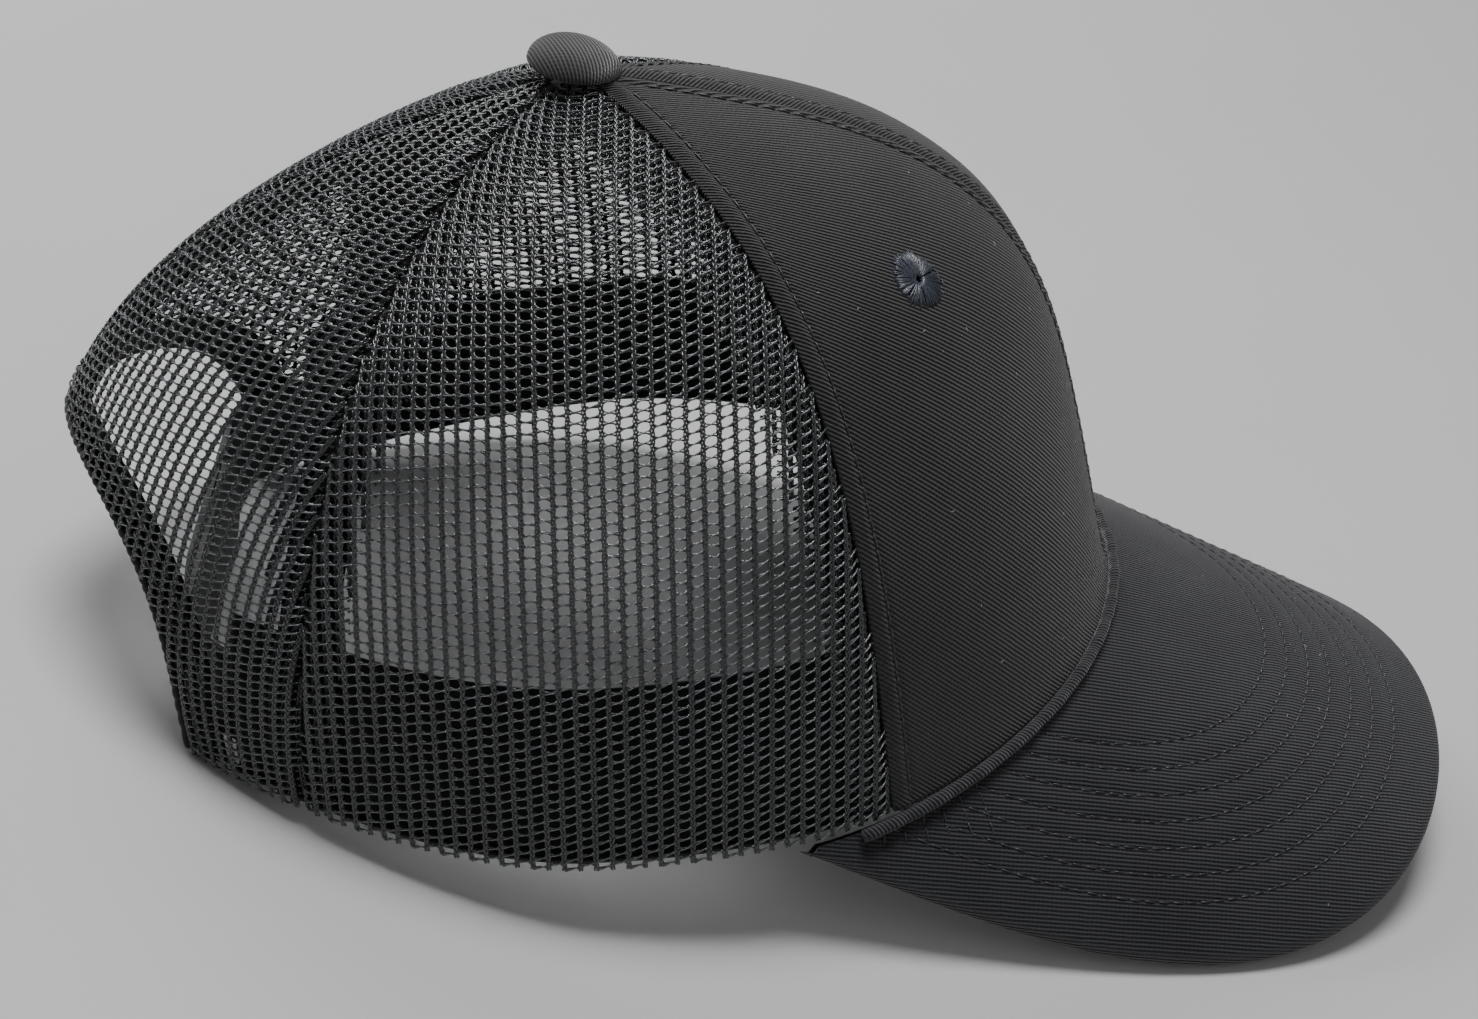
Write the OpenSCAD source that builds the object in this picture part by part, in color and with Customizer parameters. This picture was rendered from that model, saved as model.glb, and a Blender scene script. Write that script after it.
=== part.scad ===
// Six-panel snapback cap: stiffened front, mesh sides and back, curved visor, arched back opening.
// It stands on z = 0 on the back of its rim and the two lowest edges of its visor.
// The visor points to -Y and the wearer's left is +X. The origin is on the table below the head opening.

/* [Crown] */
// Half of the crown's width at the rim
crown_half_w = 82; // [70:0.5:90]
// Crown's middle to its front at the rim
crown_front = 98; // [90:0.5:112]
// Crown's middle to its back, on the rim's curve carried on across the back opening
crown_back = 106; // [95:0.5:120]
// Height of the crown over the rim's plane
crown_h = 116.5; // [100:1:140]
// Squareness of the rim's front and back halves: 2 is an ellipse
rim_square = [2.0, 1.62]; // [1.5:0.01:2.4]
// Inward lean of the crown's foot at the front, side and back, in degrees
foot_lean = [14.5, 4, -14.5]; // [-15:0.5:25]
// How far the foot's line is held, at the front, side and back, as a share of the height
foot_hold = [0.7, 0.53, 0.69]; // [0.3:0.01:0.9]
// How far the top's line is held, at the front, side and back, as a share of the radius
top_hold = [0.86, 0.67, 0.19]; // [0.1:0.01:0.95]
// Slope of the top at the front, side and back, in degrees
top_slope = [7, 14, 16.5]; // [0:0.5:30]

/* [Seams] */
// Front to side seam: angle at the rim, then how it turns with the height and its square
front_side_seam = [57, 5.5, -8.5]; // [-20:0.5:80]
// Side to back seam: angle at the rim, then how it turns with the height and its square
side_back_seam = [124.5, -1, 10.5]; // [-20:0.5:140]
// Gap between two panels' edges
seam_gap = 0.3; // [0.1:0.05:0.6]
// Width of the tapes that cover the seams inside
tape_w = 12; // [8:0.5:16]

/* [Layers] */
// Thickness of the panels
panel_t = 0.9; // [0.5:0.1:1.5]
// Thickness of the front stiffener
stiffener_t = 0.7; // [0.4:0.1:1.2]
// Thickness of the seam tapes
tape_t = 0.6; // [0.4:0.1:1]
// Thickness of the sweatband
sweatband_t = 1.2; // [0.8:0.1:2]
// Height of the sweatband
sweatband_h = 34; // [28:0.5:42]
// Gap between two layers
layer_gap = 0.3; // [0.2:0.05:0.5]

/* [Back opening] */
// Height of the arch over the rim's plane
arch_h = 48; // [40:0.5:65]
// Half of the arch at the rim, as an angle round the crown
arch_half_a = 40; // [30:0.5:48]
// Squareness of the arch: 2 is an ellipse
arch_square = 3; // [2:0.1:3.5]
// Width of the tape round the arch
arch_tape_w = 6; // [5:0.5:12]

/* [Snap strap] */
// Height of the strap
strap_h = 19; // [16:0.5:22]
// Thickness of the strap
strap_t = 1.3; // [1:0.1:2]
// Crown's middle to the middle of the strap with posts, where it is flat
strap_y = 77; // [74:0.5:82]
// Length of each strap's flat part, from its bend to its tip
strap_length = 54; // [50:0.5:54]
// Half of the flat stretch, from the middle to each strap's bend
strap_bend_x = 30; // [28:0.5:34]
// Distance from one post to the next
post_pitch = 9; // [8:0.5:10]
// Number of posts, and of holes
post_count = 6; // [6:1:6]
// Radius of a post
post_r = 2.2; // [1.8:0.05:2.4]
// Radius of a hole
hole_r = 2.65; // [2.5:0.05:3]

/* [Visor] */
// Angle round the crown of the visor's two ends
visor_end_a = 66; // [55:0.5:72]
// Height of the visor's ends over the rim's plane
visor_end_z = 2.4; // [0:0.1:6]
// Radius of the visor's curve from side to side
visor_curve_r = 90; // [84:0.5:120]
// Drop of the visor towards its front, in mm for each mm
visor_drop = 0.49; // [0:0.01:0.6]
// Half of the visor's width, measured along its curve
visor_half_w = 91.4; // [80:0.2:96]
// Crown's middle to where the visor is widest
visor_wide_y = 51; // [40:0.5:60]
// Where the visor is widest to its front edge
visor_reach = 117.8; // [105:0.2:135]
// Squareness of the visor's outline, from side to side and towards the front
visor_square = [2.0, 2.7]; // [1.6:0.01:3.2]
// Thickness of the board inside the visor
board_t = 2; // [1.5:0.1:2.5]
// Thickness of the visor's two cloths
cloth_t = 0.6; // [0.4:0.1:1]
// Radius of the rolled edge where the visor meets the crown
roll_r = 1.3; // [0.8:0.1:1.8]

/* [Button and eyelets] */
// Radius of the button
button_r = 8.2; // [7:0.1:11]
// Height of the button
button_h = 4.6; // [4:0.1:9]
// Radius of the hole the panels leave below the button
crown_hole_r = 5; // [4:0.1:6]
// Outer radius of an embroidered eyelet
eyelet_r = 4.3; // [3:0.1:5]
// Radius of an eyelet's vent hole
vent_r = 1; // [0.6:0.1:1.5]
// Where each eyelet is: angle round the crown, and height over its rim
eyelet_at = [32.5, 80.5]; // [10:1:100]

/* [Rest] */
// Angle that the visor lifts the rim's front by when the cap stands on a table
rest_pitch = 9.5; // [0:0.1:20]
// Height of the rim's plane over the table, below the crown's middle
rest_lift = 12.7; // [0:0.1:40]

/* [Hidden] */

twill = [0.16, 0.16, 0.17];
visor_cloth = [0.14, 0.14, 0.16];
mesh_yarn = [0.1, 0.12, 0.13];
buckram = [0.12, 0.12, 0.12];
eyelet_thread = [0.1, 0.12, 0.18];
tape_cloth = [0.2, 0.2, 0.22];
black_cloth = [0.08, 0.08, 0.09];
white_cloth = [0.85, 0.85, 0.83];
metal = [0.7, 0.71, 0.73];
board = [0.1, 0.1, 0.1];
strap_plastic = [0.07, 0.07, 0.08];

front_seam = [0, 0, 0];
back_seam = [180, 0, 0];
top_xy = [0, 4.3];
rim_over_visor = 0.5;
rim_flat_a = 115;
panel_cols = 8;
panel_rows = 14;
arch_cols = 9;
arch_tape_rows = 3;
arch_tape_depth = panel_t + 2 * layer_gap;
tape_rows = 12;
tape_top_r = 16;
stiffener_top_r = 26;
stiffener_inset = 1.5;
stiffener_depth = panel_t + layer_gap;
tape_depth = stiffener_depth + stiffener_t + layer_gap;
sweatband_depth = tape_depth + tape_t + layer_gap;
inner_depth = sweatband_depth + sweatband_t + layer_gap;
hem_z = 0.8;
root_sewn_a = 6;
sweatband_end_a = 180 - arch_half_a - root_sewn_a;
sweatband_cells = [46, 3];
label_a = [-119, -105];
label_h = [9, 29];
label_t = 0.4;
label_cells = [4, 2];
visor_cols = 30;
visor_rows = 5;
visor_gap = 0.4;
visor_tip = 3;
roll_out = visor_gap + roll_r + 0.2;
roll_cols = 30;
roll_sides = 8;
roll_reach = 0.93;
board_inset = 1.2;
cloth_gap = 0.15;
board_depth = cloth_t + cloth_gap;
under_depth = board_depth + board_t + cloth_gap;
thread_t = 0.5;
button_wall = 0.5;
button_lift = 0.6;
button_tilt = 8;
rivet_r = 2;
rivet_h = 6;
button_back_r = 8;
button_back_t = 1.2;
post_gap = 0.3;
post_over = 0.5;
strap_z = 4;
root_cols = 14;
root_gap = 0.3;
root_clear = 0.4;
root_start = 8;
root_end = 8;
root_a = sweatband_end_a;
root_depth = inner_depth + root_clear + strap_t / 2;
outer_strap_y = strap_y + strap_t + post_gap;
visor_end = rim_xy(visor_end_a);

// Small helpers

function lerp(a, b, f) = a + (b - a) * f;
function unit(v) = v / norm(v);
function power(v, e) = sign(v) * pow(abs(v), e);
function degrees(arc) = arc * 180 / PI;
function flatten(rows) = [for (row = rows) for (p = row) p];
function bezier(a, b, c, d, f) =
    a * pow(1 - f, 3) + b * 3 * f * pow(1 - f, 2) + c * 3 * f * f * (1 - f) + d * pow(f, 3);

// Crown surface. An angle runs round the crown: 0 is the front, 90 the wearer's left, 180 the back.
// t runs up the crown: 0 at the rim, 1 at the top.

function rim_xy(a) =
    let (square = cos(a) > 0 ? rim_square[0] : rim_square[1])
    let (reach = cos(a) > 0 ? crown_front : crown_back)
    [crown_half_w * power(sin(a), 2 / square), -reach * power(cos(a), 2 / square)];

// The height of the visor's top surface over the point x, y
function sagitta(x) = visor_curve_r - sqrt(max(pow(visor_curve_r, 2) - x * x, 1));
function visor_z(xy) =
    visor_end_z + sagitta(visor_end[0]) - sagitta(xy[0]) + visor_drop * (xy[1] - visor_end[1]);

// The rim follows the visor at the front and comes down to its own plane behind the visor's ends
function rim_z(a) =
    let (share = (abs(a) - visor_end_a) / (rim_flat_a - visor_end_a))
    share < 0 ? rim_over_visor + visor_z(rim_xy(a)) :
    (rim_over_visor + visor_end_z) * (1 + cos(180 * min(1, share))) / 2;

// A value given for the front, side and back, at one angle
function around(v, a) =
    let (c = cos(a) * cos(a))
    lerp(v[1], cos(a) > 0 ? v[0] : v[2], c);

// Radius and height over the rim along one meridian
function meridian(a, t) =
    let (h = crown_h - rim_z(a))
    let (r = norm(rim_xy(a) - top_xy))
    let (foot = around(foot_hold, a) * h)
    let (lean = around(foot_lean, a))
    let (top = around(top_hold, a) * r)
    bezier([r, 0], [r - foot * sin(lean), foot * cos(lean)],
        [top, h - top * tan(around(top_slope, a))], [0, h], t);

function crown_point(a, t) =
    let (m = meridian(a, t))
    let (out = unit(rim_xy(a) - top_xy))
    let (xy = top_xy + out * m[0])
    [xy[0], xy[1], rim_z(a) + m[1]];

function crown_normal(a, t) =
    let (along = crown_point(a + 0.5, t) - crown_point(a - 0.5, t))
    let (up = crown_point(a, t + 0.01) - crown_point(a, t - 0.01))
    unit(cross(along, up));

function layer_point(a, t, depth) = crown_point(a, t) - depth * crown_normal(a, t);

// Where a meridian reaches a height over the rim, or comes in to a radius, found by halving
function t_at_height(a, h, lo = 0, hi = 1, steps = 14) =
    let (mid = (lo + hi) / 2)
    steps == 0 ? mid :
    meridian(a, mid)[1] < h ? t_at_height(a, h, mid, hi, steps - 1) :
    t_at_height(a, h, lo, mid, steps - 1);

function t_at_radius(a, r, lo = 0, hi = 1, steps = 14) =
    let (mid = (lo + hi) / 2)
    steps == 0 ? mid :
    meridian(a, mid)[0] > r ? t_at_radius(a, r, mid, hi, steps - 1) :
    t_at_radius(a, r, lo, mid, steps - 1);

function seam_a(seam, t) = seam[0] + seam[1] * t + seam[2] * t * t;
function arc_a(a, t, arc) = degrees(arc / max(meridian(a, t)[0], 1));

// A closed sheet between two grids of points that have the same rows and columns
module sheet(outer, inner) {
    rows = len(outer);
    cols = len(outer[0]);
    count = rows * cols;
    function at(i, j) = i * cols + j;
    ring = concat(
        [for (j = [0:cols - 1]) at(0, j)],
        [for (i = [1:rows - 1]) at(i, cols - 1)],
        [for (j = [cols - 2:-1:0]) at(rows - 1, j)],
        [for (i = [rows - 2:-1:1]) at(i, 0)]
    );
    faces = concat(
        [for (i = [0:rows - 2]) for (j = [0:cols - 2]) for (half = [0, 1])
            half == 0 ? [at(i, j), at(i + 1, j + 1), at(i, j + 1)]
                : [at(i, j), at(i + 1, j), at(i + 1, j + 1)]],
        [for (i = [0:rows - 2]) for (j = [0:cols - 2]) for (half = [0, 1])
            half == 0 ? [count + at(i, j), count + at(i, j + 1), count + at(i + 1, j + 1)]
                : [count + at(i, j), count + at(i + 1, j + 1), count + at(i + 1, j)]],
        [for (k = [0:len(ring) - 1]) for (half = [0, 1])
            let (a = ring[k], b = ring[(k + 1) % len(ring)])
            half == 0 ? [a, b, count + b] : [a, count + b, count + a]]
    );
    polyhedron(points = concat(flatten(outer), flatten(inner)), faces = faces);
}

// Puts a piece built over the rim's plane in the pose that the cap stands in
module standing() {
    translate([0, 0, rest_lift]) rotate([-rest_pitch, 0, 0]) children();
}

module left_side() {
    standing() children();
}

module right_side() {
    standing() mirror([1, 0, 0]) children();
}

// Crown panels

// A grid between two seams, from the rim to a radius near the top, moved in from both seams by inset
function panel_grid(from, to, depth, top_r, inset) = [
    for (i = [0:panel_rows]) [
        for (j = [0:panel_cols])
            let (u = j / panel_cols)
            let (top_a = lerp(seam_a(from, 1), seam_a(to, 1), u))
            let (t = t_at_radius(top_a, top_r) * i / panel_rows)
            let (move = arc_a(lerp(seam_a(from, t), seam_a(to, t), u), t, inset))
            layer_point(lerp(seam_a(from, t) + move, seam_a(to, t) - move, u), t, depth)
    ]
];

module panel(from, to) {
    sheet(panel_grid(from, to, 0, crown_hole_r, seam_gap / 2),
        panel_grid(from, to, panel_t, crown_hole_r, seam_gap / 2));
}

// The arch's edge, as an angle from the back and a height, scaled out by a tape's width
function arch_edge(w, out = 0) =
    [(arch_half_a + out * arch_half_a / arch_h) * pow(cos(w), 2 / arch_square),
        (arch_h + out) * pow(sin(w), 2 / arch_square)];

function arch_point(edge, depth) =
    layer_point(180 - edge[0], t_at_height(180 - edge[0], edge[1]), depth);

// How much narrower the back panel is at t than at the rim
function back_share(t) = (180 - seam_a(side_back_seam, t)) / (180 - side_back_seam[0]);

// A back panel's columns: each has its place on the rim, in degrees from the back, and where it starts
function back_columns() = concat(
    [for (j = [0:panel_cols - 4])
        [lerp(180 - side_back_seam[0], arch_half_a, j / (panel_cols - 3)), 0]],
    [for (j = [0:arch_cols])
        let (edge = arch_edge(90 * j / arch_cols))
        let (t = t_at_height(180 - edge[0], edge[1]))
        [edge[0] / back_share(t), t]]
);

function back_grid(depth) =
    let (columns = back_columns())
    [for (i = [0:panel_rows]) [
        for (j = [0:len(columns) - 1])
            let (b = columns[j][0])
            let (top_a = 180 - b * back_share(1))
            let (t = lerp(columns[j][1], t_at_radius(top_a, crown_hole_r), i / panel_rows))
            let (side_in = j == 0 ? arc_a(top_a, t, seam_gap / 2) : 0)
            let (back_in = j == len(columns) - 1 ? arc_a(180, t, seam_gap / 2) : 0)
            layer_point(180 - b * back_share(t) + side_in - back_in, t, depth)
    ]];

module vent() {
    t = t_at_height(eyelet_at[0], eyelet_at[1]);
    n = crown_normal(eyelet_at[0], t);
    translate(crown_point(eyelet_at[0], t))
        rotate([0, acos(n[2]), atan2(n[1], n[0])])
            children();
}

module front_panel() {
    difference() {
        panel(front_seam, front_side_seam);
        vent() cylinder(r = vent_r, h = 3 * panel_t, center = true, $fn = 24);
    }
}

module front_panel_left() {
    color(twill) left_side() front_panel();
}

module front_panel_right() {
    color(twill) right_side() front_panel();
}

module side_mesh_left() {
    color(mesh_yarn) left_side() panel(front_side_seam, side_back_seam);
}

module side_mesh_right() {
    color(mesh_yarn) right_side() panel(front_side_seam, side_back_seam);
}

module back_mesh_left() {
    color(mesh_yarn) left_side() sheet(back_grid(0), back_grid(panel_t));
}

module back_mesh_right() {
    color(mesh_yarn) right_side() sheet(back_grid(0), back_grid(panel_t));
}

// Front stiffener, one behind each front panel

module front_stiffener() {
    difference() {
        sheet(
            panel_grid(front_seam, front_side_seam, stiffener_depth, stiffener_top_r, stiffener_inset),
            panel_grid(front_seam, front_side_seam, stiffener_depth + stiffener_t,
                stiffener_top_r, stiffener_inset)
        );
        vent() cylinder(r = vent_r, h = 4 * tape_depth, center = true, $fn = 24);
    }
}

module front_stiffener_left() {
    color(buckram) left_side() front_stiffener();
}

module front_stiffener_right() {
    color(buckram) right_side() front_stiffener();
}

// Eyelet: a raised ring of thread round the vent hole

module eyelet() {
    vent() translate([0, 0, seam_gap]) rotate_extrude($fn = 48)
        polygon([[vent_r, 0], [eyelet_r, 0], [eyelet_r - thread_t, thread_t], [vent_r, thread_t]]);
}

module eyelet_left() {
    color(eyelet_thread) left_side() eyelet();
}

module eyelet_right() {
    color(eyelet_thread) right_side() eyelet();
}

// Tapes over the seams inside

function tape_grid(seam, depth, start_h) = [
    for (i = [0:tape_rows]) [
        for (side = [-1:1])
            let (low = t_at_height(seam[0], start_h))
            let (high = t_at_radius(seam_a(seam, 1), tape_top_r))
            let (t = lerp(low, high, i / tape_rows))
            let (a = seam_a(seam, t))
            layer_point(a + side * arc_a(a, t, tape_w / 2), t, depth)
    ]
];

module tape(seam, start_h = hem_z) {
    sheet(tape_grid(seam, tape_depth, start_h), tape_grid(seam, tape_depth + tape_t, start_h));
}

module front_seam_tape() {
    color(tape_cloth) standing() tape(front_seam);
}

module front_side_tape_left() {
    color(tape_cloth) left_side() tape(front_side_seam);
}

module front_side_tape_right() {
    color(tape_cloth) right_side() tape(front_side_seam);
}

module side_back_tape_left() {
    color(tape_cloth) left_side() tape(side_back_seam);
}

module side_back_tape_right() {
    color(tape_cloth) right_side() tape(side_back_seam);
}

module back_seam_tape() {
    color(tape_cloth) standing() tape(back_seam, arch_h + hem_z);
}

// Tape round the arch, from one end of the rim over the top to the other

function arch_tape_grid(depth) = [
    for (row = [0:arch_tape_rows]) [
        for (j = [-2 * arch_cols:2 * arch_cols])
            let (w = 90 - 45 * abs(j) / arch_cols)
            let (edge = arch_edge(w, lerp(seam_gap, arch_tape_w, row / arch_tape_rows)))
            let (p = arch_point([edge[0], max(edge[1], hem_z)], depth))
            [j < 0 ? p[0] : -p[0], p[1], p[2]]
    ]
];

module arch_tape() {
    color(tape_cloth) standing()
        sheet(arch_tape_grid(arch_tape_depth), arch_tape_grid(arch_tape_depth + tape_t));
}

// A strip that lies against the crown inside, between two angles and two heights over the rim.
// Cells holds its columns and rows.
function strip_grid(angles, heights, depth, cells) = [
    for (i = [0:cells[1]]) [
        for (j = [0:cells[0]])
            let (a = lerp(angles[0], angles[1], j / cells[0]))
            let (h = lerp(heights[0], heights[1], i / cells[1]))
            layer_point(a, t_at_height(a, h), depth)
    ]
];

module strip(angles, heights, depth, thickness, cells) {
    sheet(strip_grid(angles, heights, depth, cells), strip_grid(angles, heights, depth + thickness, cells));
}

module sweatband() {
    color(black_cloth) standing()
        strip([-sweatband_end_a, sweatband_end_a], [hem_z, sweatband_h], sweatband_depth, sweatband_t,
            sweatband_cells);
}

module size_label() {
    color(white_cloth) standing() strip(label_a, label_h, inner_depth, label_t, label_cells);
}

// Button: a cloth cover over a pressed shell, riveted through the crown to a disc inside

function dome(r, h) = [for (a = [0:10:90]) [r * cos(a), h * sin(a)]];

module on_top() {
    standing() translate([top_xy[0], top_xy[1], crown_h + button_lift]) rotate([button_tilt, 0, 0])
        children();
}

module button_cover() {
    color(twill) on_top() rotate_extrude($fn = 64)
        difference() {
            polygon(concat([[0, 0]], dome(button_r, button_h)));
            polygon(concat([[0, -1]], [[button_r - button_wall, -1]],
                dome(button_r - button_wall, button_h - button_wall)));
        }
}

module button_shell() {
    color(metal) on_top() {
        rotate_extrude($fn = 64)
            polygon(concat([[0, 0]],
                dome(button_r - button_wall - cloth_gap, button_h - button_wall - cloth_gap)));
        translate([0, 0, -rivet_h]) cylinder(r = rivet_r, h = rivet_h + button_wall, $fn = 48);
    }
}

module button_back() {
    edge = button_back_t / 2;
    color(metal) on_top() translate([0, 0, -rivet_h - button_back_t]) rotate_extrude($fn = 64)
        polygon([[0, 0], [button_back_r - edge, 0], [button_back_r, edge],
            [button_back_r - edge, button_back_t], [0, button_back_t]]);
}

// Visor. A place on it has an arc length s across from the middle and a y.

function visor_point(place, depth) =
    let (x = visor_curve_r * sin(degrees(place[0] / visor_curve_r)))
    let (n = unit([x / sqrt(pow(visor_curve_r, 2) - x * x), -visor_drop, 1]))
    [x, place[1], visor_z([x, place[1]])] - depth * n;

function across(x) = visor_curve_r * asin(x / visor_curve_r) * PI / 180;

// Where the visor meets the crown, moved out from the rim
function visor_root(k, out) =
    let (a = k * visor_end_a)
    let (xy = rim_xy(a) + out * unit(rim_xy(a) - top_xy))
    [across(xy[0]), xy[1]];

// The outer edge: round the front to the widest place, then back in to the visor's end
function visor_edge(k, inset) =
    let (w = 180 * abs(k))
    let (half_w = visor_half_w - inset)
    let (tip = [across(visor_end[0]) + visor_tip, visor_end[1] + visor_tip - inset])
    let (place = w <= 90
        ? [half_w * pow(sin(w), 2 / visor_square[0]),
            -visor_wide_y - (visor_reach - inset) * pow(cos(w), 2 / visor_square[1])]
        : [lerp(tip[0], half_w, sin(w)), -visor_wide_y - (tip[1] + visor_wide_y) * cos(w)])
    [place[0] * sign(k), place[1]];

function visor_grid(depth, inset) = [
    for (i = [0:visor_rows]) [
        for (j = [0:visor_cols])
            let (k = 2 * j / visor_cols - 1)
            let (root = visor_root(k, visor_gap + inset))
            visor_point(lerp(root, visor_edge(k, inset), i / visor_rows), depth)
    ]
];

module visor_sheet(depth, thickness, inset) {
    standing() sheet(visor_grid(depth + thickness, inset), visor_grid(depth, inset));
}

module visor_top_cloth() {
    color(visor_cloth) visor_sheet(0, cloth_t, 0);
}

module visor_board() {
    color(board) visor_sheet(board_depth, board_t, board_inset);
}

module visor_under_cloth() {
    color(visor_cloth) visor_sheet(under_depth, cloth_t, 0);
}

// The rolled edge, a tube that lies in the corner between the visor and the crown
function roll_ring(k) =
    let (here = visor_point(visor_root(k, roll_out), -roll_r - layer_gap))
    let (next = visor_point(visor_root(k + 0.01, roll_out), -roll_r - layer_gap))
    let (along = unit(next - here))
    let (side = unit(cross(along, [0, 0, 1])))
    let (up = cross(side, along))
    [for (q = [0:roll_sides - 1])
        here + roll_r * (cos(360 * q / roll_sides) * side + sin(360 * q / roll_sides) * up)];

module visor_seam_roll() {
    rings = [for (j = [0:roll_cols]) roll_ring(roll_reach * (2 * j / roll_cols - 1))];
    faces = concat(
        [for (j = [0:roll_cols - 1]) for (q = [0:roll_sides - 1]) for (half = [0, 1])
            let (a = j * roll_sides + q, b = j * roll_sides + (q + 1) % roll_sides)
            half == 0 ? [a, b, b + roll_sides] : [a, b + roll_sides, a + roll_sides]],
        [[for (q = [roll_sides - 1:-1:0]) q]],
        [[for (q = [0:roll_sides - 1]) roll_cols * roll_sides + q]]
    );
    color(visor_cloth) standing() polyhedron(points = flatten(rings), faces = faces);
}

// Snap strap. Each half is sewn in beside the arch, runs back in a curve to a bend, and is flat after it.

// The middle of the curved part at one height, seen from above, from the sewn end to the bend
function wall_xy(a, z) =
    let (p = layer_point(a, t_at_height(a, z), root_depth))
    [p[0], p[1]];

function root_path(f, bend_y, z) =
    let (start = wall_xy(root_a, z))
    let (way = unit(wall_xy(root_a + 1, z) - wall_xy(root_a - 1, z)))
    let (bend = [strap_bend_x + strap_t / 2 + root_gap, bend_y])
    bezier(start, start + root_start * way, bend + [root_end, 0], bend, f);

function root_rows(bend_y, out) = [
    for (z = [strap_z, strap_z + strap_h]) [
        for (j = [0:root_cols])
            let (f = j / root_cols)
            let (here = root_path(f, bend_y, z))
            let (along = unit(root_path(f + 0.01, bend_y, z) - root_path(f - 0.01, bend_y, z)))
            [here[0] + out * along[1], here[1] - out * along[0], z]
    ]
];

module strap_root(bend_y) {
    sheet(root_rows(bend_y, strap_t / 2), root_rows(bend_y, -strap_t / 2));
}

// The flat part, built along +X from its bend, which is at the origin, with its middle on y = 0
module strap_flat() {
    straight = strap_length - strap_h / 2;
    rotate([90, 0, 0]) linear_extrude(strap_t, center = true) {
        translate([0, strap_z]) square([straight, strap_h]);
        translate([straight, strap_z + strap_h / 2]) circle(r = strap_h / 2, $fn = 64);
    }
    translate([0, 0, strap_z]) cylinder(d = strap_t, h = strap_h, $fn = 32);
}

module each_post() {
    first = strap_bend_x - (post_count / 2) * post_pitch;
    for (k = [0:post_count - 1])
        translate([first + k * post_pitch, 0, strap_z + strap_h / 2]) rotate([-90, 0, 0]) children();
}

module strap_holes_root() {
    color(strap_plastic) left_side() strap_root(outer_strap_y);
}

module strap_posts_root() {
    color(strap_plastic) right_side() strap_root(strap_y);
}

module strap_holes() {
    color(strap_plastic) standing() translate([strap_bend_x, outer_strap_y, 0]) mirror([1, 0, 0])
        difference() {
            strap_flat();
            each_post() cylinder(r = hole_r, h = 2 * strap_t, center = true, $fn = 48);
        }
}

module strap_posts() {
    reach = strap_t / 2 + post_gap + strap_t + post_over;
    color(strap_plastic) standing() translate([-strap_bend_x, strap_y, 0]) {
        strap_flat();
        each_post() cylinder(r = post_r, h = reach, $fn = 48);
    }
}

front_panel_left();
front_panel_right();
side_mesh_left();
side_mesh_right();
back_mesh_left();
back_mesh_right();
front_stiffener_left();
front_stiffener_right();
eyelet_left();
eyelet_right();
front_seam_tape();
front_side_tape_left();
front_side_tape_right();
side_back_tape_left();
side_back_tape_right();
back_seam_tape();
arch_tape();
sweatband();
size_label();
button_cover();
button_shell();
button_back();
visor_board();
visor_top_cloth();
visor_under_cloth();
visor_seam_roll();
strap_holes_root();
strap_holes();
strap_posts_root();
strap_posts();
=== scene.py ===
"""Looks of the six-panel snapback cap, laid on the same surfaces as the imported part.

Lengths are in mm until a mesh is made. The crown's surface takes an angle a (0 front, 90 wearer's left,
180 back, in degrees) and t (0 at the rim, 1 at the top). A gore is one crown panel laid out flat:
u is mm to the right as seen from outside and v is mm up from the rim.
"""
import math

import bpy
import numpy as np
from mathutils import Matrix, Vector


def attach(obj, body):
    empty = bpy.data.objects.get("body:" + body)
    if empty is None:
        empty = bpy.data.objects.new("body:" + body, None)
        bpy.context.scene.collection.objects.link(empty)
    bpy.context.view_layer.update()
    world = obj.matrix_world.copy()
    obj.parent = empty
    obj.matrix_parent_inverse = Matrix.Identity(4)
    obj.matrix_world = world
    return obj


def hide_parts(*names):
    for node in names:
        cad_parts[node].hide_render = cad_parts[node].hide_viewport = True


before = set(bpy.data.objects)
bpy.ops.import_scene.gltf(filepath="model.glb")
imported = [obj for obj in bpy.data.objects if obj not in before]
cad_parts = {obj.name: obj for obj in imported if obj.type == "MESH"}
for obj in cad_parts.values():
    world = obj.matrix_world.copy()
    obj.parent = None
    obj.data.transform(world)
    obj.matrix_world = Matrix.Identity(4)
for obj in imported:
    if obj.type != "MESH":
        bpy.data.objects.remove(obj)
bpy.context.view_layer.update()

MM = 0.001
SEED = 7
random = np.random.default_rng(SEED)

# Crown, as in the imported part
CROWN_HALF_W = 82
CROWN_FRONT = 98
CROWN_BACK = 106
CROWN_H = 116.5
RIM_SQUARE = (2.0, 1.62)
FOOT_LEAN = (14.5, 4, -14.5)
FOOT_HOLD = (0.7, 0.53, 0.69)
TOP_HOLD = (0.86, 0.67, 0.19)
TOP_SLOPE = (7, 14, 16.5)
TOP_XY = np.array([0, 4.3])
TOP_HOLE_R = 5
FRONT_SIDE_SEAM = (57, 5.5, -8.5)
SIDE_BACK_SEAM = (124.5, -1, 10.5)
REST_PITCH = 9.5
REST_LIFT = 12.7

# Layers, as depths under the crown's surface
PANEL_T = 0.9
STIFFENER = (1.2, 1.9)
TAPE = (2.2, 2.8)
ARCH_TAPE = (1.5, 2.1)
SWEATBAND = (3.1, 4.3)
LABEL = (4.6, 5.0)
TAPE_W = 12
TAPE_TOP_R = 2.5
SWEATBAND_H = 34
HEM_H = 0.8

# Back arch and snap strap
ARCH_H = 48
ARCH_HALF_A = 40
ARCH_SQUARE = 3
ARCH_TAPE_W = 6
STRAP_Z = 4
STRAP_H = 19
STRAP_T = 1.3
STRAP_Y = 77
STRAP_BEND_X = 30
STRAP_GAP = 0.3
ROOT_DEPTH = 5.65
ROOT_A = 134
ROOT_HANDLE = 8

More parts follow.
